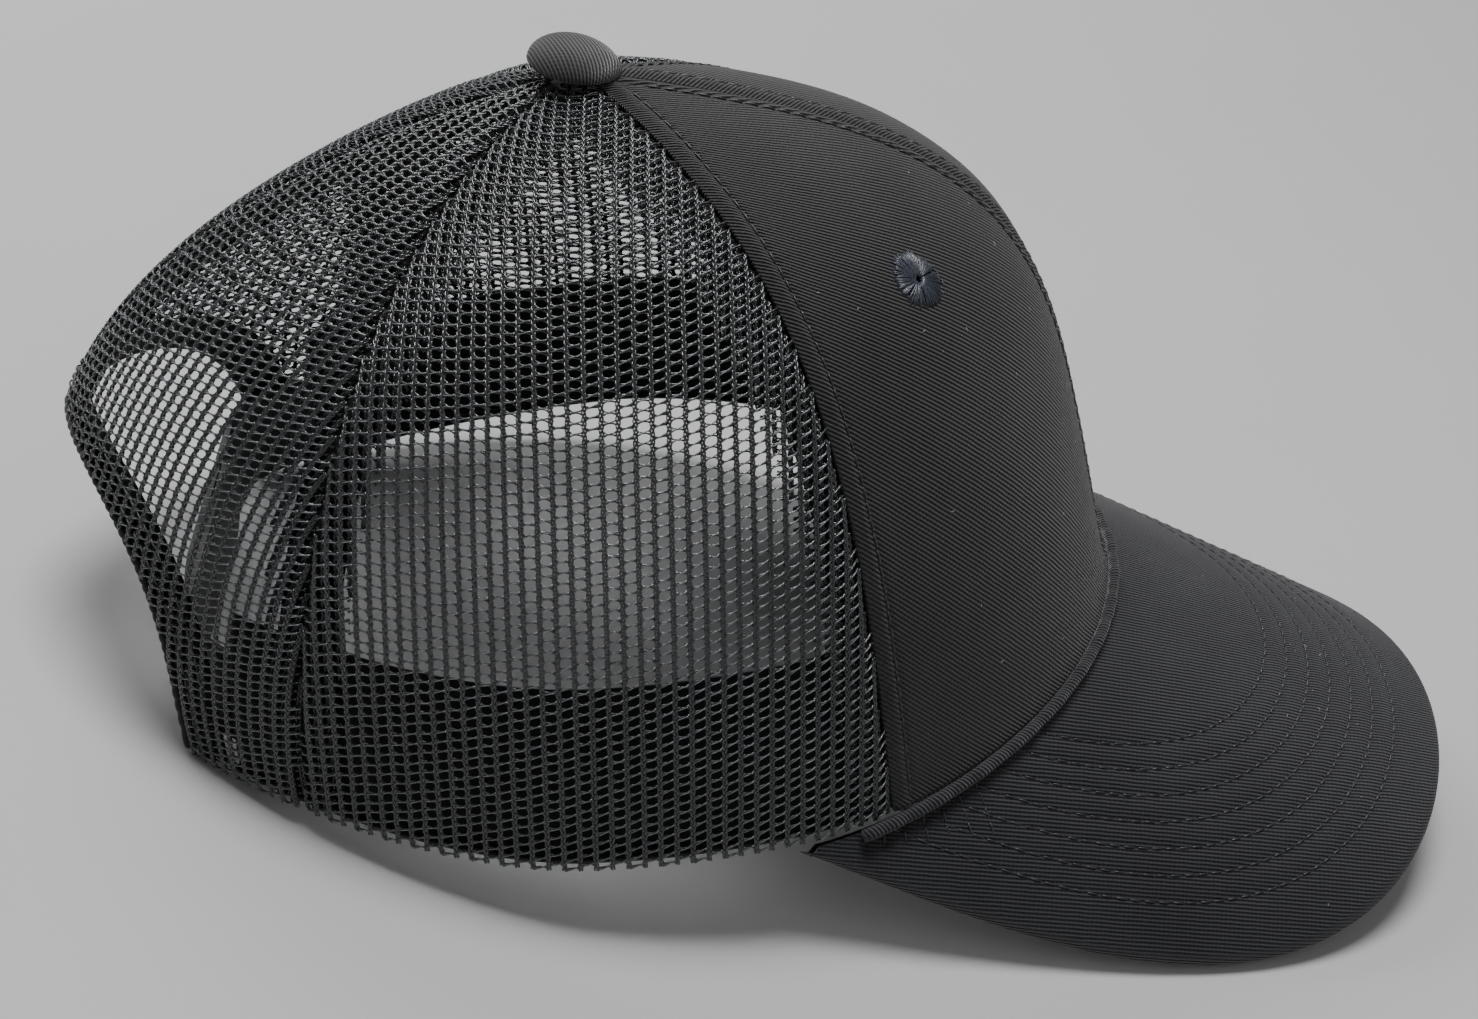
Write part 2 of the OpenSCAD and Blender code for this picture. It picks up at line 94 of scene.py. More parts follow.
# Visor
VISOR_END_A = 66
VISOR_END_Z = 2.4
VISOR_CURVE_R = 90
VISOR_DROP = 0.49
VISOR_HALF_W = 91.4
VISOR_WIDE_Y = 51
VISOR_REACH = 117.8
VISOR_SQUARE = (2.0, 2.7)
VISOR_TIP = 3
VISOR_T = 3.5
VISOR_CLOTH_T = 0.6
RIM_OVER_VISOR = 0.5
RIM_FLAT_A = 115
ROLL_R = 1.15
ROLL_OUT = 0.75
ROLL_REACH = 0.93

# Knit: wales run up a panel and rows across it
WALE_PITCH = 2.82
ROW_PITCH = 1.86
CHAIN_HALF_W = 0.33
CHAIN_DEPTH = 0.18
CHAIN_R = 0.22
CHAIN_START = 0.1
CHAIN_STEPS_A_ROW = 4.2
CHAIN_SHORTEST = 6
FIRST_ROW = 0.6
ROW_UNEVEN = 0.05
BAR_IN = 0.6
BAR_GAP = 0.07
BAR_R = 0.15
BAR_DEPTH = 0.13
BAR_SHAPE = np.array([1.7, 1.1, 0.95, 1.1, 1.7])
FLOAT_R = 0.095
FLOAT_SHAPE = np.array([1.8, 1.1, 1, 1, 1.2])
FLOAT_OVER = 0.15
FLOAT_LIFT = 0.12
FLOAT_ARCH = 0.2
FLOAT_UNEVEN = 0.04
# Bow of a bar, slope of a bar and climb of a float, after an even and after an odd wale
ROW_KINDS = ((0.08, 0.3, 1.1), (0.28, 0.12, 0.65))
ALLOWANCE_W = (7, 13)
ALLOWANCE_LIFT = -0.85

# Sewing
STITCH_PITCH = 2.9
STITCH_LENGTH = 2.35
STITCH_START = 1.0
STITCH_END_GAP = 0.2
STITCH_UNEVEN = 0.06
STITCH_LIFT = 0.05
THREAD_R = 0.2
# Along one stitch: share of its length, then its height and thickness in thread radii
STITCH_SHARE = np.array([0, 0.12, 0.35, 0.65, 0.88, 1])
STITCH_RISE = np.array([-1.3, -0.1, 0.55, 0.55, -0.1, -1.3])
STITCH_THICK = np.array([0.6, 0.95, 1, 1, 0.95, 0.6])
TOPSTITCH_IN = 3.5
SEAM_GAP = 0.15
SEAM_DIP = 0.9
SEAM_DIP_W = 1.3

# Ripples of the crown's cloth: height, then length across, slant of the fine one, and length up
BROAD_RIPPLE = (0.16, 11, 17)
FINE_RIPPLE = (0.1, 6.3, 9, 23)
RIPPLE_FADE = 10

# Surfaces


def lerp(a, b, f):
    return a + (b - a) * f


def unit(v):
    return v / np.maximum(np.linalg.norm(v, axis=-1, keepdims=True), 1e-9)


def signed_power(v, e):
    return np.sign(v) * np.abs(v) ** e


def bell(x, width):
    return np.exp(-np.square(x / width))


def run_along(points, axis):
    """Length gone along a grid of points, from its first."""
    steps = np.diff(points, axis=axis, prepend=np.take(points, [0], axis))
    return np.cumsum(np.linalg.norm(steps, axis=-1), axis)


def sin_deg(a):
    return np.sin(np.radians(a))


def cos_deg(a):
    return np.cos(np.radians(a))


def stand(points, lift=REST_LIFT):
    """The pose the cap stands in, for points over the rim's plane. lift is 0 for directions."""
    c, s = math.cos(math.radians(REST_PITCH)), math.sin(math.radians(REST_PITCH))
    x, y, z = np.moveaxis(points, -1, 0)
    return np.stack([x, y * c + z * s, -y * s + z * c + lift], -1)


def rim_xy(a):
    c = cos_deg(a)
    square = np.where(c > 0, RIM_SQUARE[0], RIM_SQUARE[1])
    reach = np.where(c > 0, CROWN_FRONT, CROWN_BACK)
    return np.stack(
        [CROWN_HALF_W * signed_power(sin_deg(a), 2 / square), -reach * signed_power(c, 2 / square)], -1)


def sagitta(x):
    return VISOR_CURVE_R - np.sqrt(np.maximum(VISOR_CURVE_R**2 - x * x, 1))


def visor_z(xy):
    end = rim_xy(VISOR_END_A)
    return VISOR_END_Z + sagitta(end[0]) - sagitta(xy[..., 0]) + VISOR_DROP * (xy[..., 1] - end[1])


def rim_z(a):
    share = (np.abs(a) - VISOR_END_A) / (RIM_FLAT_A - VISOR_END_A)
    behind = (RIM_OVER_VISOR + VISOR_END_Z) * (1 + np.cos(np.pi * np.clip(share, 0, 1))) / 2
    return np.where(share < 0, RIM_OVER_VISOR + visor_z(rim_xy(a)), behind)


def around(values, a):
    c = cos_deg(a)
    return lerp(values[1], np.where(c > 0, values[0], values[2]), c * c)


def meridian(a, t):
    """Radius and height over the rim, along the meridian at angle a."""
    h = CROWN_H - rim_z(a)
    r = np.linalg.norm(rim_xy(a) - TOP_XY, axis=-1)
    foot = around(FOOT_HOLD, a) * h
    lean = around(FOOT_LEAN, a)
    top = around(TOP_HOLD, a) * r
    w = [(1 - t) ** 3, 3 * t * (1 - t) ** 2, 3 * t * t * (1 - t), t**3]
    radius = w[0] * r + w[1] * (r - foot * sin_deg(lean)) + w[2] * top
    shoulder = h - top * np.tan(np.radians(around(TOP_SLOPE, a)))
    height = w[1] * foot * cos_deg(lean) + w[2] * shoulder + w[3] * h
    return radius, height


def crown_flat(a, t):
    radius, height = meridian(a, t)
    xy = TOP_XY + unit(rim_xy(a) - TOP_XY) * radius[..., None]
    return np.concatenate([xy, (rim_z(a) + height)[..., None]], -1)


def crown_normal(a, t):
    along = crown_flat(a + 0.5, t) - crown_flat(a - 0.5, t)
    up = crown_flat(a, t + 0.01) - crown_flat(a, t - 0.01)
    return unit(np.cross(along, up))


def layer(a, t, depth):
    """Points under the crown's surface, and its outward normals, as the cap stands."""
    a, t = np.broadcast_arrays(np.asarray(a, float), np.asarray(t, float))
    normal = crown_normal(a, t)
    depth = np.broadcast_to(depth, a.shape)[..., None]
    return stand(crown_flat(a, t) - depth * normal), stand(normal, 0)


def t_where(a, wanted, which):
    """t at which a meridian reaches a height (which 1), or comes in to a radius (which 0)."""
    halvings = 22
    a, wanted = np.broadcast_arrays(np.asarray(a, float), np.asarray(wanted, float))
    low, high = np.zeros(a.shape), np.ones(a.shape)
    for _ in range(halvings):
        middle = (low + high) / 2
        value = meridian(a, middle)[which]
        below = value < wanted if which else value > wanted
        low, high = np.where(below, middle, low), np.where(below, high, middle)
    return (low + high) / 2


def t_at_height(a, h):
    return t_where(a, h, 1)


def seam_a(seam, t):
    return seam[0] + seam[1] * t + seam[2] * t * t


def seam_line(seam, side=1):
    """A seam's angle as a function of t, on the wearer's left (side 1) or right (side -1)."""
    return lambda t: side * seam_a(seam, t)


def arch_edge(w, out=0.0):
    """The arch's edge: angle from the back and height, w from 0 at the rim to 90 at its top."""
    return ((ARCH_HALF_A + out * ARCH_HALF_A / ARCH_H) * cos_deg(w) ** (2 / ARCH_SQUARE),
            (ARCH_H + out) * sin_deg(w) ** (2 / ARCH_SQUARE))


def in_arch(a, h, out=0.0):
    b = (180 - np.abs(a)) / (ARCH_HALF_A + out * ARCH_HALF_A / ARCH_H)
    return np.abs(b) ** ARCH_SQUARE + np.abs(h / (ARCH_H + out)) ** ARCH_SQUARE < 1


class Gore:
    """A crown panel between two seams, laid out flat on a grid of 1 mm."""

    STEP = 1.0
    MARGIN = 12.0
    SPREAD = 1.6
    HALF_COUNT = 80
    ALONG_COUNT = 400

    def __init__(self, left, right, arch=False):
        self.arch = arch

        def middle(t):
            return (left(t) + right(t)) / 2

        top_t = float(t_where(middle(1.0), TOP_HOLE_R, 0))
        t = np.linspace(0, 1, self.ALONG_COUNT) * top_t
        length = run_along(crown_flat(middle(t), t), 0)
        self.v_top = length[-1]
        self.v = np.arange(0, self.v_top + self.STEP, self.STEP)
        self.t = np.interp(self.v, length, t)
        spread = np.linspace(-self.SPREAD, self.SPREAD, 2 * self.HALF_COUNT + 1)
        half = (right(self.t) - left(self.t))[:, None] / 2
        angles = middle(self.t)[:, None] + spread * half
        u = run_along(crown_flat(angles, np.broadcast_to(self.t[:, None], angles.shape)), 1)
        u = u - u[:, self.HALF_COUNT, None]
        self.left, self.right = (
            np.array([np.interp(seam(ti), ai, ui) for ti, ai, ui in zip(self.t, angles, u)])
            for seam in (left, right))
        reach = max(-self.left.min(), self.right.max()) + self.MARGIN
        self.u = np.arange(-reach, reach + self.STEP, self.STEP)
        self.a = np.array([np.interp(self.u, ui, ai) for ui, ai in zip(u, angles)])
        t_grid = np.broadcast_to(self.t[:, None], self.a.shape)
        self.h = meridian(self.a, t_grid)[1]
        self.points, self.normals = layer(self.a, t_grid, 0)
        wave = random.uniform(0, 2 * np.pi, 4)
        vv, uu = np.meshgrid(self.v, self.u, indexing="ij")
        height, across, up = BROAD_RIPPLE
        self.ripple = height * np.sin(uu / across + wave[0]) * np.sin(vv / up + wave[1])
        height, across, slant, up = FINE_RIPPLE
        self.ripple += height * np.sin(uu / across + vv / slant + wave[2]) * np.sin(vv / up + wave[3])

    def sample(self, grid, u, v):
        i = np.clip((v - self.v[0]) / self.STEP, 0, len(self.v) - 1.001)
        j = np.clip((u - self.u[0]) / self.STEP, 0, len(self.u) - 1.001)
        i0, j0 = i.astype(int), j.astype(int)
        fi, fj = i - i0, j - j0
        if grid.ndim == 3:
            fi, fj = fi[..., None], fj[..., None]
        low = lerp(grid[i0, j0], grid[i0, j0 + 1], fj)
        return lerp(low, lerp(grid[i0 + 1, j0], grid[i0 + 1, j0 + 1], fj), fi)

    def from_seams(self, u, v):
        """Distance inside the nearer seam."""
        return np.minimum(u - np.interp(v, self.v, self.left), np.interp(v, self.v, self.right) - u)

    def holds(self, u, v, edge):
        ok = (self.from_seams(u, v) > edge) & (v < self.v_top) & (v >= 0)
        if self.arch:
            ok &= ~in_arch(self.sample(self.a, u, v), self.sample(self.h, u, v), edge)
        return ok

    def grid(self, v, cols, inset=0.0):
        """Flat places on rows at v, from inset inside one seam to inset inside the other."""
        left = np.interp(v, self.v, self.left)[:, None] + inset
        right = np.interp(v, self.v, self.right)[:, None] - inset
        u = left + (right - left) * np.linspace(0, 1, cols)
        return u, np.broadcast_to(v[:, None], u.shape)

    def place(self, u, v, lift=0.0):
        """Points over the panel's surface, which dips into the seams, and the surface's normals."""
        u, v = np.broadcast_arrays(np.asarray(u, float), np.asarray(v, float))
        dip = SEAM_DIP * bell(np.maximum(self.from_seams(u, v), 0), SEAM_DIP_W)
        ripple = self.sample(self.ripple, u, v) * np.clip(v / RIPPLE_FADE, 0, 1)
        rise = np.broadcast_to(lift, u.shape) - dip + ripple
        normal = unit(self.sample(self.normals, u, v))
        return self.sample(self.points, u, v) + rise[..., None] * normal, normal


# Meshes


class Soup:
    """The vertices, faces and flat cloth places of one piece, in mm."""

    def __init__(self):
        self.points, self.faces, self.flat, self.count = [], [], [], 0

    def add(self, points, faces, flat=None):
        points = points.reshape(-1, 3)
        flat = np.zeros((len(points), 2)) if flat is None else flat.reshape(-1, 2)
        self.points.append(points)
        self.flat.append(flat)
        self.faces += [f.reshape(-1, f.shape[-1]) + self.count for f in faces]
        self.count += len(points)
        return self

    def mesh(self, name):
        me = bpy.data.meshes.new(name)
        points = np.concatenate(self.points) * MM
        me.vertices.add(len(points))
        me.vertices.foreach_set("co", points.astype(np.float32).ravel())
        corners = np.concatenate([f.ravel() for f in self.faces])
        sizes = np.concatenate([np.full(len(f), f.shape[1]) for f in self.faces])
        me.loops.add(len(corners))
        me.loops.foreach_set("vertex_index", corners.astype(np.int32))
        me.polygons.add(len(sizes))
        me.polygons.foreach_set("loop_start", (np.cumsum(sizes) - sizes).astype(np.int32))
        me.polygons.foreach_set("use_smooth", np.ones(len(sizes), bool))
        uv = me.uv_layers.new(name="Cloth")
        uv.uv.foreach_set("vector", np.concatenate(self.flat)[corners].astype(np.float32).ravel())
        me.update(calc_edges=True)
        me.validate()
        return me


def show(name, data):
    obj = bpy.data.objects.new(name, data)
    bpy.context.scene.collection.objects.link(obj)
    return obj


def piece(name, soup, material, replaces=()):
    """A shown piece of the cap with one material, which hides the CAD nodes it replaces."""
    me = soup.mesh(name)
    me.materials.append(material)
    obj = show(name, me)
    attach(obj, "cap")
    if replaces:
        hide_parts(*replaces)
    return obj


def cloth(name, outer, inner, flat, material, replaces=()):
    """A piece of cloth between two grids of points."""
    return piece(name, Soup().add(*shell(outer, inner, flat)), material, replaces)


def tubes(path, normal, radius, sides=4):
    """Closed tubes. path and normal are (tubes, steps, 3), radius is a number or (tubes, steps)."""
    count, steps = path.shape[:2]
    along = unit(np.gradient(path, axis=1))
    side = unit(np.cross(along, normal))
    up = np.cross(side, along)
    q = 2 * np.pi * (np.arange(sides) + 0.5) / sides
    radius = np.broadcast_to(radius, (count, steps))[..., None, None]
    rings = path[:, :, None] + radius * (
        np.cos(q)[:, None] * side[:, :, None] + np.sin(q)[:, None] * up[:, :, None])
    index = np.arange(count * steps * sides).reshape(count, steps, sides)
    a, b = index[:, :-1], index[:, 1:]
    walls = np.stack([a, b, np.roll(b, -1, 2), np.roll(a, -1, 2)], -1).reshape(-1, 4)
    return rings, [walls, index[:, 0], index[:, -1, ::-1]]


def shell(outer, inner, flat=None):
    """A closed sheet between two grids of points: rows go up and columns right, seen from outside."""
    rows, cols = outer.shape[:2]
    index = np.arange(rows * cols).reshape(rows, cols)
    front = np.stack([index[:-1, :-1], index[:-1, 1:], index[1:, 1:], index[1:, :-1]], -1).reshape(-1, 4)
    ring = np.concatenate([index[0, :-1], index[:-1, -1], index[-1, :0:-1], index[:0:-1, 0]])
    after = np.roll(ring, -1)
    count = rows * cols
    rim = np.stack([ring, ring + count, after + count, after], -1)
    if flat is not None:
        flat = np.concatenate([flat.reshape(-1, 2)] * 2)
    points = np.concatenate([outer.reshape(-1, 3), inner.reshape(-1, 3)])
    return points, [front, front[:, ::-1] + count, rim], flat


def strip(angles, heights, depths, cells, puff):
    """Outer, inner and flat grid of a strip against the crown, between two angles, heights and depths."""
    a, h = np.meshgrid(np.linspace(*angles, cells[0]), np.linspace(*heights, cells[1]))
    t = t_at_height(a, h)
    outer = layer(a, t, depths[0])[0]
    inner = layer(a, t, depths[1] + puff(a, h))[0]
    return outer, inner, np.stack([run_along(outer, 1), h], -1)


def sew(soup, line, normal):
    """Adds stitches along a line of points on cloth. Each is a short thread that dives in at its ends."""
    run = run_along(line, 0)
    first = np.arange(STITCH_START, run[-1] - STITCH_LENGTH - STITCH_END_GAP, STITCH_PITCH)
    if not len(first):
        return
    first = first + random.normal(0, STITCH_UNEVEN, len(first))
    at = first[:, None] + STITCH_SHARE * STITCH_LENGTH
    path = np.stack([np.interp(at, run, line[:, k]) for k in range(3)], -1)
    up = unit(np.stack([np.interp(at, run, normal[:, k]) for k in range(3)], -1))
    rise = STITCH_RISE * THREAD_R + STITCH_LIFT
    thick = np.broadcast_to(THREAD_R * STITCH_THICK, at.shape)
    soup.add(*tubes(path + rise[:, None] * up, up, thick, 6))


# Materials


class Nodes:
    """A Principled material with short calls for its nodes."""

    def __init__(self, name, **values):
        self.material = bpy.data.materials.new(name)
        self.material.use_nodes = True
        self.tree = self.material.node_tree
        self.shader = self.tree.nodes["Principled BSDF"]
        for key, value in values.items():
            self.shader.inputs[key.replace("_", " ")].default_value = value

    def node(self, kind, **settings):
        made = self.tree.nodes.new("ShaderNode" + kind)
        for key, value in settings.items():
            setattr(made, key, value)
        return made

    def feed(self, socket, value):
        if isinstance(value, bpy.types.NodeSocket):
            self.tree.links.new(value, socket)
        else:
            socket.default_value = value

    def math(self, operation, a, b=0.0):
        made = self.node("Math", operation=operation)
        for socket, value in zip(made.inputs, (a, b)):
            self.feed(socket, value)
        return made.outputs[0]

    def plus(self, a, b):
        return self.math("ADD", a, b)

    def times(self, a, b):
        return self.math("MULTIPLY", a, b)

    def cosine(self, a, factor):
        return self.math("COSINE", self.times(a, factor))

    def noise(self, scale, detail=3.0, rough=0.55):
        """Noise in the object's own metres."""
        made = self.node("TexNoise")
        self.tree.links.new(self.node("TexCoord").outputs["Object"], made.inputs["Vector"])
        made.inputs["Scale"].default_value = scale
        made.inputs["Detail"].default_value = detail
        made.inputs["Roughness"].default_value = rough
        return made.outputs["Fac"]

    def span(self, value, low, high, to_low=0.0, to_high=1.0):
        made = self.node("MapRange")
        for socket, v in zip(made.inputs, (value, low, high, to_low, to_high)):
            self.feed(socket, v)
        return made.outputs[0]

    def mix(self, factor, a, b):
        made = self.node("Mix", data_type="RGBA")
        self.feed(made.inputs[0], factor)
        for socket, colour in zip((made.inputs[6], made.inputs[7]), (a, b)):
            self.feed(socket, colour if isinstance(colour, bpy.types.NodeSocket) else (*colour, 1))
        return made.outputs[2]

    def flat(self):
        """The piece's own cloth places in mm, as x and y."""
        split = self.node("SeparateXYZ")
        self.tree.links.new(self.node("UVMap", uv_map="Cloth").outputs[0], split.inputs[0])
        return split.outputs[0], split.outputs[1]

    def finish(self, colour, rough, height, distance, strength):
        """Colour and roughness, and a bump whose distance is in metres."""
        self.feed(self.shader.inputs["Base Color"], colour)
        self.feed(self.shader.inputs["Roughness"], rough)
        bump = self.node("Bump")
        bump.inputs["Strength"].default_value = strength
        bump.inputs["Distance"].default_value = distance
        self.feed(bump.inputs["Height"], height)
        self.tree.links.new(bump.outputs[0], self.shader.inputs["Normal"])
        return self.material


TWILL_PITCH = 0.72
TWILL_FLOATS = 0.8
TWILL_SHIFT = 0.37
TWILL_WEAR = 0.3
PLASTIC_ROUGH = 0.42


def twill_material(name, dark, light, angle):
    """Diagonal twill ribs broken into floats, with fuzz, uneven dye and rubbed places."""
    n = Nodes(name, Sheen_Weight=0.22, Sheen_Roughness=0.45, Specular_IOR_Level=0.25)
    x, y = n.flat()
    c = math.cos(math.radians(angle)) / TWILL_PITCH
    s = math.sin(math.radians(angle)) / TWILL_PITCH
    wobble = n.times(n.noise(260), 0.35)
    across = n.plus(n.times(x, c), n.times(y, s))
    across = n.plus(across, wobble)
    along = n.plus(n.times(x, -s), n.times(y, c))
    rib = n.cosine(across, 2 * math.pi)
    step = n.times(n.math("FLOOR", across), TWILL_SHIFT)
    float_end = n.cosine(n.plus(along, step), 2 * math.pi * TWILL_FLOATS)
    height = n.plus(n.span(rib, -1, 1), n.times(float_end, 0.07))
    fuzz = n.noise(2600, 2.0)
    height = n.plus(height, n.times(fuzz, 0.3))
    cloudy = n.noise(42, 4.0, 0.6)
    worn = n.times(n.span(cloudy, 0.3, 0.75), TWILL_WEAR)
    tone = n.plus(n.times(height, 0.75), worn)
    colour = n.mix(n.span(tone, 0.2, 1.15), dark, light)
    rough = n.span(height, 0, 1.2, 0.95, 0.72)
    return n.finish(colour, rough, height, 0.0003, 1.0)


def yarn_material(name, dark, light, rough, spec=0.5, scale=900):
    """Filament yarn: dark, a little glossy, with fine lengthwise unevenness."""
    n = Nodes(name, Specular_IOR_Level=spec, Sheen_Weight=0.12, Sheen_Roughness=0.3)
    fine = n.noise(scale, 2.0)
    broad = n.noise(60, 2.0)
    tone = n.plus(n.times(fine, 0.7), n.times(broad, 0.3))
    colour = n.mix(n.span(tone, 0.3, 0.7), dark, light)
    return n.finish(colour, n.span(fine, 0.3, 0.7, rough - 0.08, rough + 0.12), fine, 0.00005, 0.6)


def woven_material(name, dark, light, pitch, rough=0.8, sheen=0.2):
    """Plain weave, for tapes, sweatband, label and buckram."""
    n = Nodes(name, Sheen_Weight=sheen, Sheen_Roughness=0.4, Specular_IOR_Level=0.3)
    x, y = n.flat()
    warp = n.cosine(x, 2 * math.pi / pitch)
    weft = n.cosine(y, 2 * math.pi / pitch)
    height = n.span(n.times(warp, weft), -1, 1)
    fuzz = n.noise(1800, 2.0)
    height = n.plus(height, n.times(fuzz, 0.4))
    cloudy = n.noise(70, 3.0)
    tone = n.plus(n.times(height, 0.6), n.times(cloudy, 0.35))
    colour = n.mix(n.span(tone, 0.1, 1.0), dark, light)
    return n.finish(colour, n.span(height, 0, 1.4, rough + 0.12, rough), height, 0.0001, 0.7)


def plastic_material(name, dark, light):
    """Moulded plastic: a fine grain and faint handling marks."""
    n = Nodes(name, Specular_IOR_Level=0.5)
    grain = n.noise(2200, 3.0)
    marks = n.noise(90, 4.0, 0.65)
    colour = n.mix(n.span(marks, 0.35, 0.7), dark, light)
    rough = n.span(marks, 0.3, 0.7, PLASTIC_ROUGH, PLASTIC_ROUGH + 0.15)
    return n.finish(colour, rough, grain, 0.00003, 0.5)


def metal_material(name, dark, light):
    """Pressed metal with dull marks."""
    n = Nodes(name, Metallic=1.0)
    marks = n.noise(400, 4.0)
    colour = n.mix(n.span(marks, 0.3, 0.7), dark, light)
    return n.finish(colour, n.span(marks, 0.3, 0.7, 0.3, 0.5), marks, 0.00002, 0.5)


TWILL = twill_material("twill", (0.0018, 0.0018, 0.0022), (0.034, 0.0333, 0.0355), 37)
BUTTON_CLOTH = twill_material("button_twill", (0.005, 0.005, 0.0056), (0.046, 0.045, 0.047), 114)
VISOR_CLOTH = twill_material("visor_twill", (0.0018, 0.0019, 0.0027), (0.025, 0.0255, 0.0315), 17)
YARN = yarn_material("knit_yarn", (0.002, 0.0024, 0.0031), (0.010, 0.0122, 0.0152), 0.25, 1.0)
# The floats are the same black yarn as the knit, coloured lighter grey: painted glints on the thin floats
FLOAT_YARN_PAINTED_GLINT = yarn_material("float_yarn_painted_glint", (0.05, 0.058, 0.064), (0.15, 0.17, 0.18), 0.25, 1.0)
THREAD = yarn_material("sewing_thread", (0.004, 0.0042, 0.005), (0.016, 0.0165, 0.02), 0.42, 0.5, 2400)
EYELET_THREAD = yarn_material("eyelet_thread", (0.006, 0.008, 0.014), (0.026, 0.034, 0.052), 0.34, 0.6, 2400)
TAPE_CLOTH = woven_material("seam_tape", (0.003, 0.003, 0.0035), (0.012, 0.012, 0.0135), 0.6)
BAND_CLOTH = woven_material("sweatband_cloth", (0.003, 0.003, 0.0035), (0.012, 0.012, 0.0135), 0.45)
LABEL_CLOTH = woven_material("label_satin", (0.55, 0.55, 0.53), (0.82, 0.82, 0.8), 0.25, 0.5)
BUCKRAM = woven_material("buckram", (0.008, 0.008, 0.0085), (0.03, 0.03, 0.031), 1.1, 0.9, 0.05)
STRAP_PLASTIC = plastic_material("strap_plastic", (0.012, 0.012, 0.013), (0.024, 0.024, 0.026))
BOARD_PLASTIC = plastic_material("board_plastic", (0.01, 0.01, 0.011), (0.02, 0.02, 0.021))
METAL = metal_material("button_metal", (0.5, 0.5, 0.5), (0.72, 0.72, 0.72))

# Knit panels


def runs(ok):
    """First and last+1 place of each stretch of True."""
    edges = np.flatnonzero(np.diff(np.concatenate([[0], ok.astype(int), [0]])))
    return zip(edges[::2], edges[1::2])


def knit_chain(chains, gore, u, v, wale, lift):
    """Three strands twisted round each other, up one wale."""
    strand = 2 * np.pi * np.arange(3)[:, None] / 3
    turn = np.pi * v / ROW_PITCH + strand + wale
    sway = u + CHAIN_HALF_W * np.sin(turn)
    height = lift + CHAIN_DEPTH * np.sin(2 * turn)
    path, normal = gore.place(sway, np.broadcast_to(v, sway.shape), height)
    chains.add(*tubes(path, normal, CHAIN_R))


def knit_rows(bars, floats, gore, u, rows, wale, lift):
    """The double bars from one wale to the next, and the thin float over each."""
    bow, slope, climb = ROW_KINDS[wale % 2]
    share = np.linspace(0, 1, len(BAR_SHAPE))
    across = u + CHAIN_HALF_W + (WALE_PITCH - 2 * CHAIN_HALF_W) * share
    across = np.clip(np.broadcast_to(across, (len(rows), len(share))),
                     np.interp(rows, gore.v, gore.left), np.interp(rows, gore.v, gore.right))
    for side in (-1, 1):
        up = rows + side * (BAR_GAP + bow * (2 * share - 1) ** 2) + slope * (share - 0.5)
        path, normal = gore.place(across, up, lift + side * BAR_DEPTH)
        bars.add(*tubes(path, normal, np.broadcast_to(BAR_R * BAR_SHAPE, across.shape)))
    start = rows - climb / 2 + random.normal(0, FLOAT_UNEVEN, rows.shape)
    height = lift + FLOAT_LIFT + FLOAT_ARCH * np.sin(np.pi * share)
    path, normal = gore.place(across + FLOAT_OVER * (share - 0.5), start + climb * share, height)
    floats.add(*tubes(path, normal, np.broadcast_to(FLOAT_R * FLOAT_SHAPE, across.shape), 3))


def knit(gore, chains, bars, floats, edge=0.2, lift=0.0, only=None, shift=(0.0, 0.0)):
    """Warp knit over a gore: chains run up it, double bars join them, and a thin float crosses each bar."""
    v = np.arange(CHAIN_START, gore.v_top, ROW_PITCH / CHAIN_STEPS_A_ROW)
    last = int(gore.u[-1] / WALE_PITCH)

    def inside(u, v, e):
        ok = gore.holds(u, v, e)
        return ok if only is None else ok & only(u, v)

    for wale in range(-last, last + 1):
        u = (wale + 0.5) * WALE_PITCH + shift[0]
        for first, end in runs(inside(np.full_like(v, u), v, edge)):
            if end - first >= CHAIN_SHORTEST:
                knit_chain(chains, gore, u, v[first:end], wale, lift)
        rows = np.arange(FIRST_ROW, gore.v_top, ROW_PITCH) + (wale % 2) * ROW_PITCH / 2 + shift[1]
        rows = rows + random.normal(0, ROW_UNEVEN, rows.shape)
        rows = rows[inside(np.full_like(rows, u + WALE_PITCH / 2), rows, edge + BAR_IN)]
        if len(rows):
            knit_rows(bars, floats, gore, u, rows[:, None], wale, lift)


def knit_panel(name, gore):
    """One mesh panel: its chains, bars and floats, with the doubled seam allowance inside."""
    chains, bars, floats = Soup(), Soup(), Soup()
    knit(gore, chains, bars, floats)
    inner_chains, inner_bars = Soup(), Soup()

    def near_seam(u, v):
        near = gore.from_seams(u, v) < lerp(*ALLOWANCE_W, v / gore.v_top)
        if gore.arch:
            near |= in_arch(gore.sample(gore.a, u, v), gore.sample(gore.h, u, v), ARCH_TAPE_W - 1)
        return near

    knit(gore, inner_chains, inner_bars, inner_bars, edge=0.3, lift=ALLOWANCE_LIFT, only=near_seam,
         shift=(WALE_PITCH / 2, ROW_PITCH / 4))
    obj = piece(name + "_chains", chains, YARN, (name,))
    # The floats take the lighter grey yarn: painted glints
    parts = (("_bars", bars, YARN), ("_floats", floats, FLOAT_YARN_PAINTED_GLINT),
             ("_allowance_chains", inner_chains, YARN), ("_allowance_bars", inner_bars, YARN))
    others = [piece(name + end, soup, yarn) for end, soup, yarn in parts]
    all_v, all_u = np.meshgrid(gore.v, gore.u, indexing="ij")
    between_seams = (gore.from_seams(all_u, all_v) > 0).sum()
    share = gore.holds(all_u, all_v, 0).sum() / between_seams
    np.stack(gore.grid(gore.v, 9), -1)


SIDES = {"left": 1, "right": -1}


def between(seam_in, seam_out, side, arch=False):
    """The gore between two seams given for the wearer's left, on either side."""
    inner, outer = seam_line(seam_in, side), seam_line(seam_out, side)
    return Gore(inner, outer, arch) if side > 0 else Gore(outer, inner, arch)


